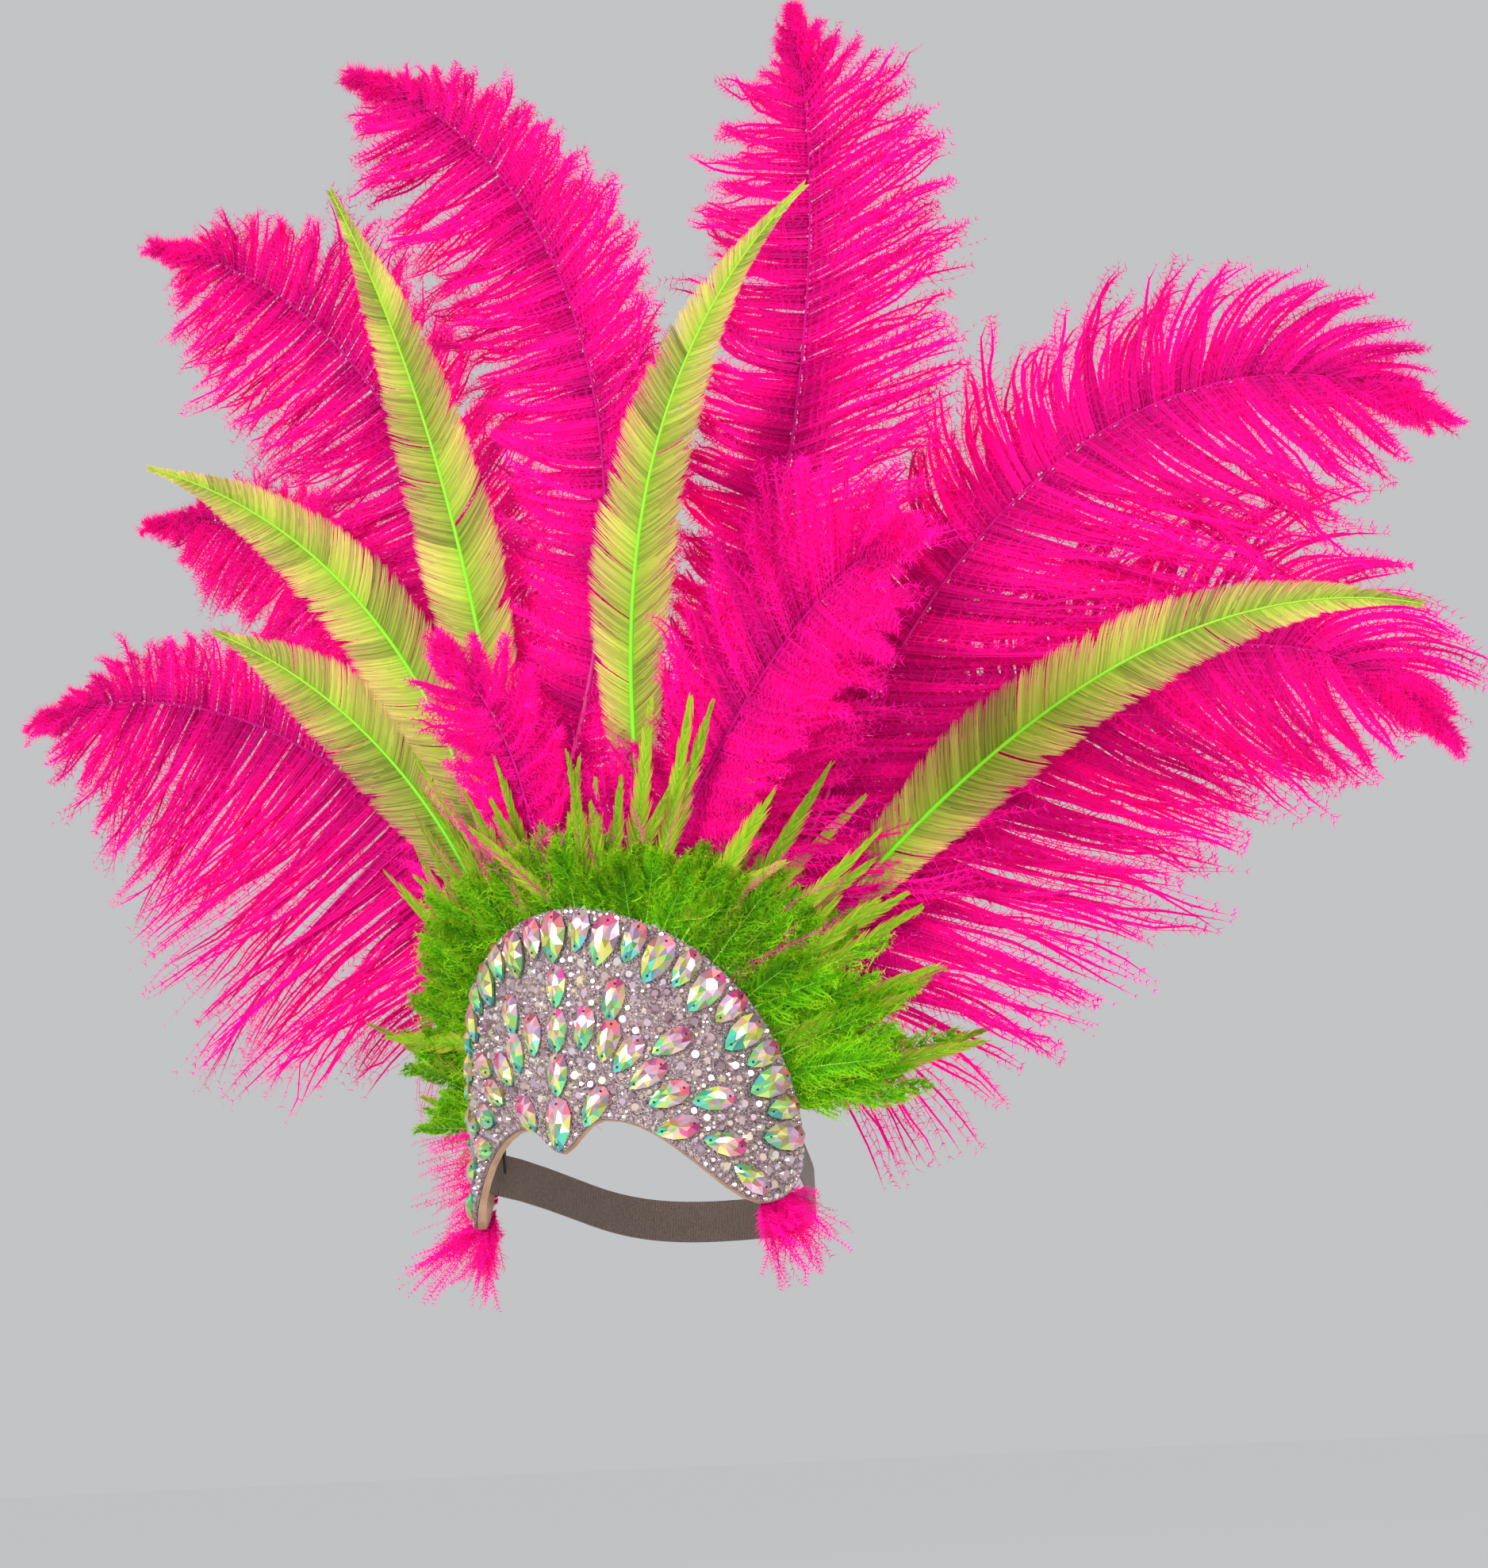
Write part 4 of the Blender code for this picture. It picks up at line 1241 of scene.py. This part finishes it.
class FacetMesh:
    """Gathers faceted stones, each facet with its own tone."""

    def __init__(self) -> None:
        """Start with nothing gathered."""
        self.points: list[np.ndarray] = []
        self.faces: list[tuple[int, ...]] = []
        self.tones: list[tuple[float, float, float]] = []
        self.count = 0

    def add(self, points: np.ndarray, faces: list[tuple[int, ...]],
            tones: list[tuple[float, float, float]]) -> None:
        """Add one stone with a tone for each face."""
        self.points.append(points)
        self.faces += [tuple(self.count + corner for corner in face) for face in faces]
        self.tones += tones
        self.count += len(points)

    def build(self, name: str) -> bpy.types.Object:
        """Join the stones.

        Args:
            name: Name of the piece.

        Returns:
            The object, with a corner attribute "facet".
        """
        mesh = bpy.data.meshes.new(name)
        mesh.from_pydata(np.concatenate(self.points), [], self.faces)
        layer = mesh.color_attributes.new("facet", "FLOAT_COLOR", "CORNER")
        colours = []
        for face, tone in zip(self.faces, self.tones):
            colours += [(*tone, 1.0)] * len(face)
        layer.data.foreach_set("color", np.array(colours, np.float32).ravel())
        item = bpy.data.objects.new(name, mesh)
        bpy.context.scene.collection.objects.link(item)
        LOG.info("%s: %d faces", name, len(self.faces))
        return item


def facet_material(name: str, hues: tuple[tuple[float, tuple[float, float, float]], ...],
                   metal: float, rough: float) -> bpy.types.Material:
    """Make the coated stone material, whose colour changes from facet to facet, with each facet's
    brightness painted reflection and a few facets glowing as painted glints.

    Args:
        name: Name of the material.
        hues: Places and colours of the coating's ramp.
        metal: How metallic the coating is.
        rough: Roughness.

    Returns:
        The material.
    """
    material = bpy.data.materials.new(name)
    material.use_nodes = True
    tree = material.node_tree
    shader = tree.nodes["Principled BSDF"]
    facet = tree.nodes.new("ShaderNodeAttribute")
    facet.attribute_name = "facet"
    split = tree.nodes.new("ShaderNodeSeparateColor")
    ramp = tree.nodes.new("ShaderNodeValToRGB")
    stops = ramp.color_ramp.elements
    while len(stops) < len(hues):
        stops.new(0.5)
    for stop, (place, colour) in zip(stops, hues):
        stop.position = place
        stop.color = (*colour, 1.0)
    shade = tree.nodes.new("ShaderNodeHueSaturation")
    # Painted reflection: the tone's second value sets each facet's brightness and stands in for
    # what the facet reflects; the sew holes' low value darkens them as painted shade.
    light = tree.nodes.new("ShaderNodeMapRange")
    light.clamp = False
    light.inputs["To Min"].default_value = 0.40
    light.inputs["To Max"].default_value = 1.15
    link(tree, facet.outputs["Color"], split.inputs["Color"])
    link(tree, split.outputs["Red"], ramp.inputs["Fac"])
    link(tree, split.outputs["Green"], light.inputs["Value"])
    link(tree, light.outputs["Result"], shade.inputs["Value"])
    link(tree, ramp.outputs["Color"], shade.inputs["Color"])
    link(tree, shade.outputs["Color"], shader.inputs["Base Color"])
    # Painted glints: facets whose tone has a high third value glow in their own colour, though no
    # lamp is there.
    painted_glint_mask = tree.nodes.new("ShaderNodeMapRange")
    painted_glint_mask.inputs["From Min"].default_value = 0.80
    painted_glint_mask.inputs["To Max"].default_value = 1.0
    painted_glint = tree.nodes.new("ShaderNodeMix")
    painted_glint.data_type = "RGBA"
    painted_glint.inputs["A"].default_value = (0.0, 0.0, 0.0, 1.0)
    link(tree, split.outputs["Blue"], painted_glint_mask.inputs["Value"])
    link(tree, painted_glint_mask.outputs["Result"], painted_glint.inputs["Factor"])
    link(tree, shade.outputs["Color"], painted_glint.inputs["B"])
    link(tree, painted_glint.outputs["Result"], shader.inputs["Emission Color"])
    shader.inputs["Emission Strength"].default_value = 0.35
    shader.inputs["Metallic"].default_value = metal
    shader.inputs["Roughness"].default_value = rough
    shader.inputs["Coat Weight"].default_value = 0.7
    shader.inputs["Coat Roughness"].default_value = 0.03
    return material


STONE_HUES = ((0.00, (0.86, 0.06, 0.36)), (0.13, (0.92, 0.22, 0.20)), (0.26, (0.90, 0.40, 0.50)),
              (0.38, (0.60, 0.42, 0.70)), (0.50, (0.76, 0.58, 0.42)), (0.62, (0.80, 0.72, 0.12)),
              (0.76, (0.30, 0.72, 0.20)), (0.90, (0.10, 0.66, 0.36)), (1.00, (0.12, 0.60, 0.66)))
RHINE_HUES = ((0.00, (0.34, 0.22, 0.26)), (0.22, (0.64, 0.45, 0.50)), (0.45, (0.80, 0.63, 0.52)),
              (0.65, (0.55, 0.40, 0.58)), (0.82, (0.84, 0.76, 0.72)), (1.00, (0.72, 0.60, 0.36)))


class Crown:
    """The jewelled front: bed, teardrops and the field of small stones."""

    def __init__(self, seed: int) -> None:
        """Set out the teardrops."""
        self.rng = np.random.default_rng(seed)
        self.cut = StoneCut()
        self.fan = fan_seats()
        self.inner = inner_seats()

    def teardrops(self, name: str, seats: list[StoneSeat]) -> bpy.types.Object:
        """Lay teardrops on their seats.

        Args:
            name: Name of the piece.
            seats: Where they lie.

        Returns:
            The piece.
        """
        rng = self.rng
        gathered = FacetMesh()
        for seat in seats:
            length, width = seat.shown
            centre, beside, along, outward = seat.axes()
            scaled = self.cut.points * np.array([width, length, 1.0])
            placed = (centre + scaled[:, :1] * beside + scaled[:, 1:2] * along
                      + scaled[:, 2:] * outward)
            shift = rng.uniform(-0.12, 0.12)
            # Each facet's tone: its place on the coating's ramp, a random brightness that is
            # painted reflection, and a random draw that picks the painted glints.
            tones = []
            for face in self.cut.faces:
                middle = self.cut.points[list(face)].mean(axis=0)
                tone = 0.48 + 0.95 * middle[1] + shift + rng.normal(0, 0.15)
                tones.append((float(np.clip(tone, 0, 1)), float(rng.uniform(0, 1)),
                              float(rng.uniform(0, 1))))
            gathered.add(placed, self.cut.faces, tones)
            for end in (-1, 1):
                hole = self.cut.hole(end, length, width)
                hole = (centre + hole[:, :1] * beside + hole[:, 1:2] * along
                        + hole[:, 2:] * outward)
                gathered.add(hole, [tuple(range(len(hole)))], [(0.5, HOLE_SHADE, 0.0)])
        return gathered.build(name)

    def clear_of_teardrops(self, point: np.ndarray, radius: float) -> bool:
        """True if a round stone at a point of the flat pattern misses all teardrops."""
        for seat in self.fan + self.inner:
            length, width = seat.shown
            turn = math.radians(seat.turn)
            gap = point - np.array([seat.arc, seat.height])
            along = gap[0] * math.sin(turn) + gap[1] * math.cos(turn)
            beside = gap[0] * math.cos(turn) - gap[1] * math.sin(turn)
            share = min(max(along / length * 2, -1.0), 1.0)
            round_part = math.sqrt(1 - share * share)
            pinch = math.sqrt(math.sqrt((1 - share) / 2)) if share > -1 else 1.0
            half = width / 2 * round_part * pinch * 1.12
            over = max(abs(along) - length / 2, 0.0)
            if math.hypot(over, max(abs(beside) - half, 0.0)) < radius * 0.92:
                return False
        return True

    def small_stones(self) -> bpy.types.Object:
        """Fill the bed between the teardrops with round rhinestones.

        Returns:
            The piece.
        """
        rng = self.rng
        places: list[tuple[float, float, float]] = []
        for side in (1, -1):
            run = 0.001
            while run < EDGE.run[-1]:
                radius = rng.choice((0.0011, 0.0015, 0.0021), p=(0.35, 0.40, 0.25))
                flat, outward = EDGE.at(np.array((run + radius) / EDGE.run[-1] * side))
                flat = flat - outward * (radius + 0.0004)
                places.append((float(flat[0]), float(flat[1]), radius))
                run += 2 * radius + 0.0001
            for arc in np.arange(0.002, CROWN_HALF_ARC - TEMPLE_ARC, 0.0036):
                places.append((side * arc, low_edge(arc) + 0.0024, rng.uniform(0.0013, 0.0017)))
        taken = np.array(places)
        for radius, tries in ((0.0034, 900), (0.0027, 1800), (0.0020, 3200), (0.0014, 5200),
                              (0.0010, 7000)):
            for _ in range(tries):
                arc = rng.uniform(-CROWN_HALF_ARC, CROWN_HALF_ARC)
                low, high = low_edge(arc), top_edge(arc)
                height = rng.uniform(low, high) if high > low else low
                size = radius * rng.uniform(0.92, 1.08)
                edge = min(height - low, high - height, CROWN_HALF_ARC - abs(arc))
                if edge < size + 0.0008:
                    continue
                gap = np.hypot(taken[:, 0] - arc, taken[:, 1] - height) - taken[:, 2]
                if gap.min() < size * 0.94:
                    continue
                if self.clear_of_teardrops(np.array([arc, height]), size):
                    taken = np.vstack([taken, (arc, height, size)])
        gathered = FacetMesh()
        sides = 8
        turn = 2 * math.pi * np.arange(sides) / sides
        ring = np.stack([np.cos(turn), np.sin(turn)], axis=-1)
        half_turn = turn + math.pi / sides
        inner = np.stack([np.cos(half_turn), np.sin(half_turn)], axis=-1) * 0.56
        faces = []
        for corner in range(sides):
            after = (corner + 1) % sides
            faces.append((corner, after, sides + corner))
            faces.append((after, sides + after, sides + corner))
        faces.append(tuple(range(sides, 2 * sides)))
        for arc, height, radius in taken:
            angle = arc / CROWN_RADIUS
            outward = np.array([math.sin(angle), -math.cos(angle), 0.0])
            across = np.array([math.cos(angle), math.sin(angle), 0.0])
            upward = np.array([0.0, 0.0, 1.0])
            centre = wrap(arc, height, BED_RADIUS)
            tilt = rng.normal(0, 0.10, 2)
            rise = radius * 0.52
            spin = rng.uniform(0, math.pi)
            cos, sin = math.cos(spin), math.sin(spin)
            points = []
            for flat, level in ((ring, 0.0), (inner, rise)):
                for x, y in flat * radius:
                    x, y = x * cos - y * sin, x * sin + y * cos
                    z = level + (x * tilt[0] + y * tilt[1] if level else 0.0)
                    points.append(centre + across * x + upward * y + outward * z)
            hue = rng.uniform(0, 1)
            # Each facet's tone: its place on the ramp near the stone's hue, a brightness that is
            # painted reflection with the flat top facet lighter than the side facets, and a
            # random draw that picks the painted glints.
            tones = [(float(np.clip(hue + rng.normal(0, 0.10), 0, 1)),
                      float(rng.uniform(0, 0.6) if len(face) == 3 else rng.uniform(0.4, 1.0)),
                      float(rng.uniform(0, 1))) for face in faces]
            gathered.add(np.array(points), faces, tones)
        LOG.info("small stones: %d", len(taken))
        return gathered.build("small_rhinestones")

    def bed(self) -> bpy.types.Object:
        """Make the thin bed that the stones are glued to.

        Returns:
            The piece.
        """
        columns = []
        count = 96
        for step in range(-count, count + 1):
            arc = (CROWN_HALF_ARC - CLEARANCE) * math.sin(math.pi / 2 * step / count)
            low = low_edge(arc) + CLEARANCE
            high = top_edge(arc) - CLEARANCE
            if high - low < 2 * CLEARANCE:
                middle = (high + low) / 2
                low, high = middle - CLEARANCE, middle + CLEARANCE
            columns.append((arc, low, high))
        points, faces = [], []
        for arc, low, high in columns:
            for radius, height in ((BED_RADIUS, low), (CROWN_RADIUS + CLEARANCE, low),
                                   (CROWN_RADIUS + CLEARANCE, high), (BED_RADIUS, high)):
                points.append(tuple(wrap(arc, height, radius)))
        for column in range(len(columns) - 1):
            first = column * 4
            for corner in range(4):
                after = (corner + 1) % 4
                faces.append((first + corner, first + 4 + corner, first + 4 + after,
                              first + after))
        last = (len(columns) - 1) * 4
        faces += [(0, 1, 2, 3), (last + 3, last + 2, last + 1, last)]
        mesh = bpy.data.meshes.new("stone_bed")
        mesh.from_pydata(points, [], faces)
        item = bpy.data.objects.new("stone_bed", mesh)
        bpy.context.scene.collection.objects.link(item)
        return item


# Plain surfaces

def leather_material() -> bpy.types.Material:
    """Make the plate's tan leather."""
    material = bpy.data.materials.new("tan_leather")
    material.use_nodes = True
    tree = material.node_tree
    shader = tree.nodes["Principled BSDF"]
    place = tree.nodes.new("ShaderNodeTexCoord")
    grain = tree.nodes.new("ShaderNodeTexVoronoi")
    grain.inputs["Scale"].default_value = 900
    cloud = tree.nodes.new("ShaderNodeTexNoise")
    cloud.inputs["Scale"].default_value = 60
    cloud.inputs["Detail"].default_value = 6
    ramp = tree.nodes.new("ShaderNodeValToRGB")
    ramp.color_ramp.elements[0].position = 0.3
    ramp.color_ramp.elements[0].color = (0.30, 0.16, 0.085, 1)
    ramp.color_ramp.elements[1].position = 0.75
    ramp.color_ramp.elements[1].color = (0.56, 0.36, 0.22, 1)
    bump = tree.nodes.new("ShaderNodeBump")
    bump.inputs["Strength"].default_value = 0.35
    bump.inputs["Distance"].default_value = 0.0003
    link(tree, place.outputs["Object"], grain.inputs["Vector"])
    link(tree, place.outputs["Object"], cloud.inputs["Vector"])
    link(tree, cloud.outputs["Fac"], ramp.inputs["Fac"])
    link(tree, ramp.outputs["Color"], shader.inputs["Base Color"])
    link(tree, grain.outputs["Distance"], bump.inputs["Height"])
    link(tree, bump.outputs["Normal"], shader.inputs["Normal"])
    shader.inputs["Roughness"].default_value = 0.68
    return material


def elastic_material() -> bpy.types.Material:
    """Make the band's ribbed elastic, with ribs that run along its length."""
    material = bpy.data.materials.new("ribbed_elastic")
    material.use_nodes = True
    tree = material.node_tree
    shader = tree.nodes["Principled BSDF"]
    place = tree.nodes.new("ShaderNodeTexCoord")
    split = tree.nodes.new("ShaderNodeSeparateXYZ")
    angle = tree.nodes.new("ShaderNodeMath")
    angle.operation = "ARCTAN2"
    ribs = tree.nodes.new("ShaderNodeMath")
    ribs.operation = "MULTIPLY"
    ribs.inputs[1].default_value = 620.0
    wave = tree.nodes.new("ShaderNodeMath")
    wave.operation = "SINE"
    noise = tree.nodes.new("ShaderNodeTexNoise")
    noise.inputs["Scale"].default_value = 700
    ramp = tree.nodes.new("ShaderNodeValToRGB")
    ramp.color_ramp.elements[0].color = (0.10, 0.082, 0.066, 1)
    ramp.color_ramp.elements[1].color = (0.24, 0.20, 0.165, 1)
    height = tree.nodes.new("ShaderNodeMath")
    height.operation = "MULTIPLY_ADD"
    height.inputs[1].default_value = 0.4
    bump = tree.nodes.new("ShaderNodeBump")
    bump.inputs["Strength"].default_value = 0.6
    bump.inputs["Distance"].default_value = 0.0004
    link(tree, place.outputs["Object"], split.inputs["Vector"])
    link(tree, split.outputs["Y"], angle.inputs[0])
    link(tree, split.outputs["X"], angle.inputs[1])
    link(tree, angle.outputs[0], ribs.inputs[0])
    link(tree, ribs.outputs[0], wave.inputs[0])
    link(tree, place.outputs["Object"], noise.inputs["Vector"])
    link(tree, wave.outputs[0], height.inputs[0])
    link(tree, noise.outputs["Fac"], height.inputs[2])
    link(tree, height.outputs[0], ramp.inputs["Fac"])
    link(tree, ramp.outputs["Color"], shader.inputs["Base Color"])
    link(tree, height.outputs[0], bump.inputs["Height"])
    link(tree, bump.outputs["Normal"], shader.inputs["Normal"])
    shader.inputs["Roughness"].default_value = 0.85
    return material


def felt_material() -> bpy.types.Material:
    """Make the holder's felt."""
    material = bpy.data.materials.new("holder_felt")
    material.use_nodes = True
    tree = material.node_tree
    shader = tree.nodes["Principled BSDF"]
    place = tree.nodes.new("ShaderNodeTexCoord")
    noise = tree.nodes.new("ShaderNodeTexNoise")
    noise.inputs["Scale"].default_value = 900
    noise.inputs["Detail"].default_value = 4
    ramp = tree.nodes.new("ShaderNodeValToRGB")
    ramp.color_ramp.elements[0].color = (0.010, 0.010, 0.011, 1)
    ramp.color_ramp.elements[1].color = (0.055, 0.05, 0.052, 1)
    bump = tree.nodes.new("ShaderNodeBump")
    bump.inputs["Strength"].default_value = 0.7
    bump.inputs["Distance"].default_value = 0.0004
    link(tree, place.outputs["Object"], noise.inputs["Vector"])
    link(tree, noise.outputs["Fac"], ramp.inputs["Fac"])
    link(tree, ramp.outputs["Color"], shader.inputs["Base Color"])
    link(tree, noise.outputs["Fac"], bump.inputs["Height"])
    link(tree, bump.outputs["Normal"], shader.inputs["Normal"])
    shader.inputs["Roughness"].default_value = 0.95
    return material


def bed_material() -> bpy.types.Material:
    """Make the glued bed between the stones."""
    material = bpy.data.materials.new("glitter_bed")
    material.use_nodes = True
    tree = material.node_tree
    shader = tree.nodes["Principled BSDF"]
    place = tree.nodes.new("ShaderNodeTexCoord")
    grain = tree.nodes.new("ShaderNodeTexVoronoi")
    grain.inputs["Scale"].default_value = 1400
    ramp = tree.nodes.new("ShaderNodeValToRGB")
    ramp.color_ramp.elements[0].color = (0.07, 0.045, 0.05, 1)
    ramp.color_ramp.elements[1].color = (0.42, 0.32, 0.33, 1)
    bump = tree.nodes.new("ShaderNodeBump")
    bump.inputs["Strength"].default_value = 0.9
    bump.inputs["Distance"].default_value = 0.0005
    split = tree.nodes.new("ShaderNodeSeparateColor")
    link(tree, place.outputs["Object"], grain.inputs["Vector"])
    link(tree, grain.outputs["Color"], split.inputs["Color"])
    link(tree, split.outputs["Red"], ramp.inputs["Fac"])
    link(tree, ramp.outputs["Color"], shader.inputs["Base Color"])
    link(tree, grain.outputs["Distance"], bump.inputs["Height"])
    link(tree, bump.outputs["Normal"], shader.inputs["Normal"])
    shader.inputs["Metallic"].default_value = 0.55
    shader.inputs["Roughness"].default_value = 0.32
    return material


# Stage

@dataclass(frozen=True)
class PhotoCamera:
    """Camera at the photograph's angle, height and framing."""

    turn: float = 28.0
    rise: float = -15.3
    roll: float = -2.5
    distance: float = 1.199
    scale: float = 2500.0
    image: tuple[int, int] = (1876, 1977)
    anchor_pixel: tuple[float, float] = (709.0, 1455.0)

    def build(self) -> None:
        """Add the camera and make it the scene's own."""
        turn, rise, roll = (math.radians(value) for value in (self.turn, self.rise, self.roll))
        back = Vector((math.sin(turn) * math.cos(rise), -math.cos(turn) * math.cos(rise),
                       math.sin(rise)))
        right = Vector((math.cos(turn), math.sin(turn), 0))
        up = back.cross(right)
        level = right * math.cos(roll) + up * math.sin(roll)
        upright = -right * math.sin(roll) + up * math.cos(roll)
        focal = self.scale * self.distance
        across = (self.anchor_pixel[0] - self.image[0] / 2) / self.scale
        above = -(self.anchor_pixel[1] - self.image[1] / 2) / self.scale
        anchor = Vector((0, -CROWN_RADIUS, 0))
        place = anchor + back * self.distance - level * across - upright * above
        matrix = Matrix((level, upright, back)).transposed().to_4x4()
        matrix.translation = place
        data = bpy.data.cameras.new("photo_camera")
        camera = bpy.data.objects.new("photo_camera", data)
        bpy.context.scene.collection.objects.link(camera)
        camera.matrix_world = matrix
        data.sensor_fit = "VERTICAL"
        data.sensor_height = 36.0
        data.lens = focal / self.image[1] * data.sensor_height
        bpy.context.scene.camera = camera


class Studio:
    """Pale floor and soft light."""

    FLOOR = -0.50

    def floor(self) -> None:
        """Add the floor."""
        bpy.ops.mesh.primitive_circle_add(vertices=96, radius=30.0, fill_type="NGON",
                                          location=(0, 0, self.FLOOR))
        item = bpy.context.object
        item.name = "floor"
        material = bpy.data.materials.new("pale_floor")
        material.use_nodes = True
        shader = material.node_tree.nodes["Principled BSDF"]
        shader.inputs["Base Color"].default_value = (0.97, 0.97, 0.97, 1)
        shader.inputs["Roughness"].default_value = 1.0
        shader.inputs["Specular IOR Level"].default_value = 0.0
        item.data.materials.append(material)

    def lamp(self, name: str, place: tuple[float, float, float], power: float,
             size: float) -> None:
        """Add one soft lamp that points at the headdress.

        Args:
            name: Name of the lamp.
            place: Where it stands.
            power: Watts.
            size: Side of its square.
        """
        data = bpy.data.lights.new(name, "AREA")
        data.energy = power
        data.size = size
        data.spread = math.radians(70)
        item = bpy.data.objects.new(name, data)
        bpy.context.scene.collection.objects.link(item)
        item.location = place
        aim = Vector((0, 0, 0.25)) - Vector(place)
        item.rotation_euler = aim.to_track_quat("-Z", "Y").to_euler()

    def light(self) -> None:
        """Add the sky and the lamps."""
        world = bpy.data.worlds.new("studio")
        bpy.context.scene.world = world
        world.use_nodes = True
        background = world.node_tree.nodes["Background"]
        background.inputs["Color"].default_value = (0.80, 0.81, 0.83, 1)
        background.inputs["Strength"].default_value = 0.68
        self.lamp("key", (-0.5, -2.3, 0.9), 9.5, 1.0)
        self.lamp("side", (2.1, -1.1, 0.6), 4.5, 0.8)
        self.lamp("low", (0.9, -1.9, -0.40), 2.4, 0.5)
        self.lamp("rear", (-0.8, 2.2, 0.9), 5.5, 1.2)
        bpy.context.scene.view_settings.view_transform = "Standard"


def dress(item: bpy.types.Object, material: bpy.types.Material) -> None:
    """Put a material on a piece, in the place of any it has."""
    item.data.materials.clear()
    item.data.materials.append(material)


def dress_node(node: bpy.types.Object, material: bpy.types.Material) -> None:
    """Put a material in every slot of a CAD node."""
    for slot in node.material_slots:
        slot.material = material


def place(item: bpy.types.Object, slot: str, nodes: tuple[str, ...]) -> None:
    """Set a finished piece on the frame.

    Args:
        item: The piece.
        slot: The record's material slot for the piece; not used.
        nodes: CAD nodes that it stands for.
    """
    if nodes:
        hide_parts(*nodes)
    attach(item, "root")


def main() -> None:
    """Build every piece in order."""
    logging.basicConfig(level=logging.INFO, format="%(message)s")
    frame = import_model()
    bpy.ops.object.select_all(action="DESELECT")
    PhotoCamera().build()
    studio = Studio()
    studio.floor()
    studio.light()
    group = fibre_group()
    finishes = {finish.name: finish.build(group) for finish in (
        PLUME_FINISH, PLUME_QUILL, LIME_FINISH, LIME_QUILL, GREEN_FINISH, GREEN_QUILL,
        HACKLE_FINISH)}
    for number, row in enumerate(PLUMES + LIMES):
        plume = row in PLUMES
        feather = Feather(row, Hue.MAGENTA if plume else Hue.LIME, 100 + number)
        feather.grow()
        slot = "magenta_feather" if plume else "lime_feather"
        vane = feather.strands.build(row.name + "_barbs")
        dress(vane, finishes[(PLUME_FINISH if plume else LIME_FINISH).name])
        place(vane, slot, (row.name,))
        quill = feather.quill.build(row.name + "_quill")
        dress(quill, finishes[(PLUME_QUILL if plume else LIME_QUILL).name])
        place(quill, slot, ())
    for number, row in enumerate(FANS):
        fan = SmallFeathers(row, 300 + number)
        green = row.hue is Hue.GREEN
        if green:
            fan.grow(3, 0.0078, 0.019)
            beside = abs(row.start) > 0.152
            fan.hackles(max(5, round(abs(row.end - row.start) * 42)), 0.125 if beside else 0.095)
            spears = fan.spears.build(row.name + "_hackles")
            dress(spears, finishes[HACKLE_FINISH.name])
            place(spears, "collar_feather", ())
        else:
            fan.wisps(*WISPS[row.name])
        slot = "collar_feather" if green else "magenta_feather"
        vane = fan.strands.build(row.name + "_barbs")
        dress(vane, finishes[(GREEN_FINISH if green else PLUME_FINISH).name])
        place(vane, slot, (row.name,))
        if green:
            quill = fan.quills.build(row.name + "_quills")
            dress(quill, finishes[GREEN_QUILL.name])
            place(quill, slot, ())
    for number, row in enumerate(LOOSE_WISPS):
        loose = SmallFeathers(row, 500 + number)
        loose.wisps(*WISPS[row.name])
        strands = loose.strands.build(row.name)
        dress(strands, finishes[PLUME_FINISH.name])
        place(strands, "magenta_feather", ())
    crown = Crown(7)
    coated = facet_material("coated_stone", STONE_HUES, 0.55, 0.12)
    rhine = facet_material("coated_rhinestone", RHINE_HUES, 0.65, 0.14)
    fan_names = ["fan_stone_centre"] + [f"fan_stone_{side}_{count:02d}" for side in
                                        ("left", "right") for count in range(1, 13)]
    stones = crown.teardrops("fan_teardrops", crown.fan)
    dress(stones, coated)
    place(stones, "cut_stone", tuple(fan_names))
    inner = crown.teardrops("inner_teardrops", crown.inner)
    dress(inner, coated)
    place(inner, "cut_stone", ())
    bed = crown.bed()
    dress(bed, bed_material())
    place(bed, "rhinestones", ("rhinestone_bed",))
    small = crown.small_stones()
    dress(small, rhine)
    place(small, "rhinestones", ())
    dress_node(frame["nodes"]["crown_plate"], leather_material())
    dress_node(frame["nodes"]["elastic_band"], elastic_material())
    dress_node(frame["nodes"]["quill_holder"], felt_material())


if __name__ == "__main__":
    main()
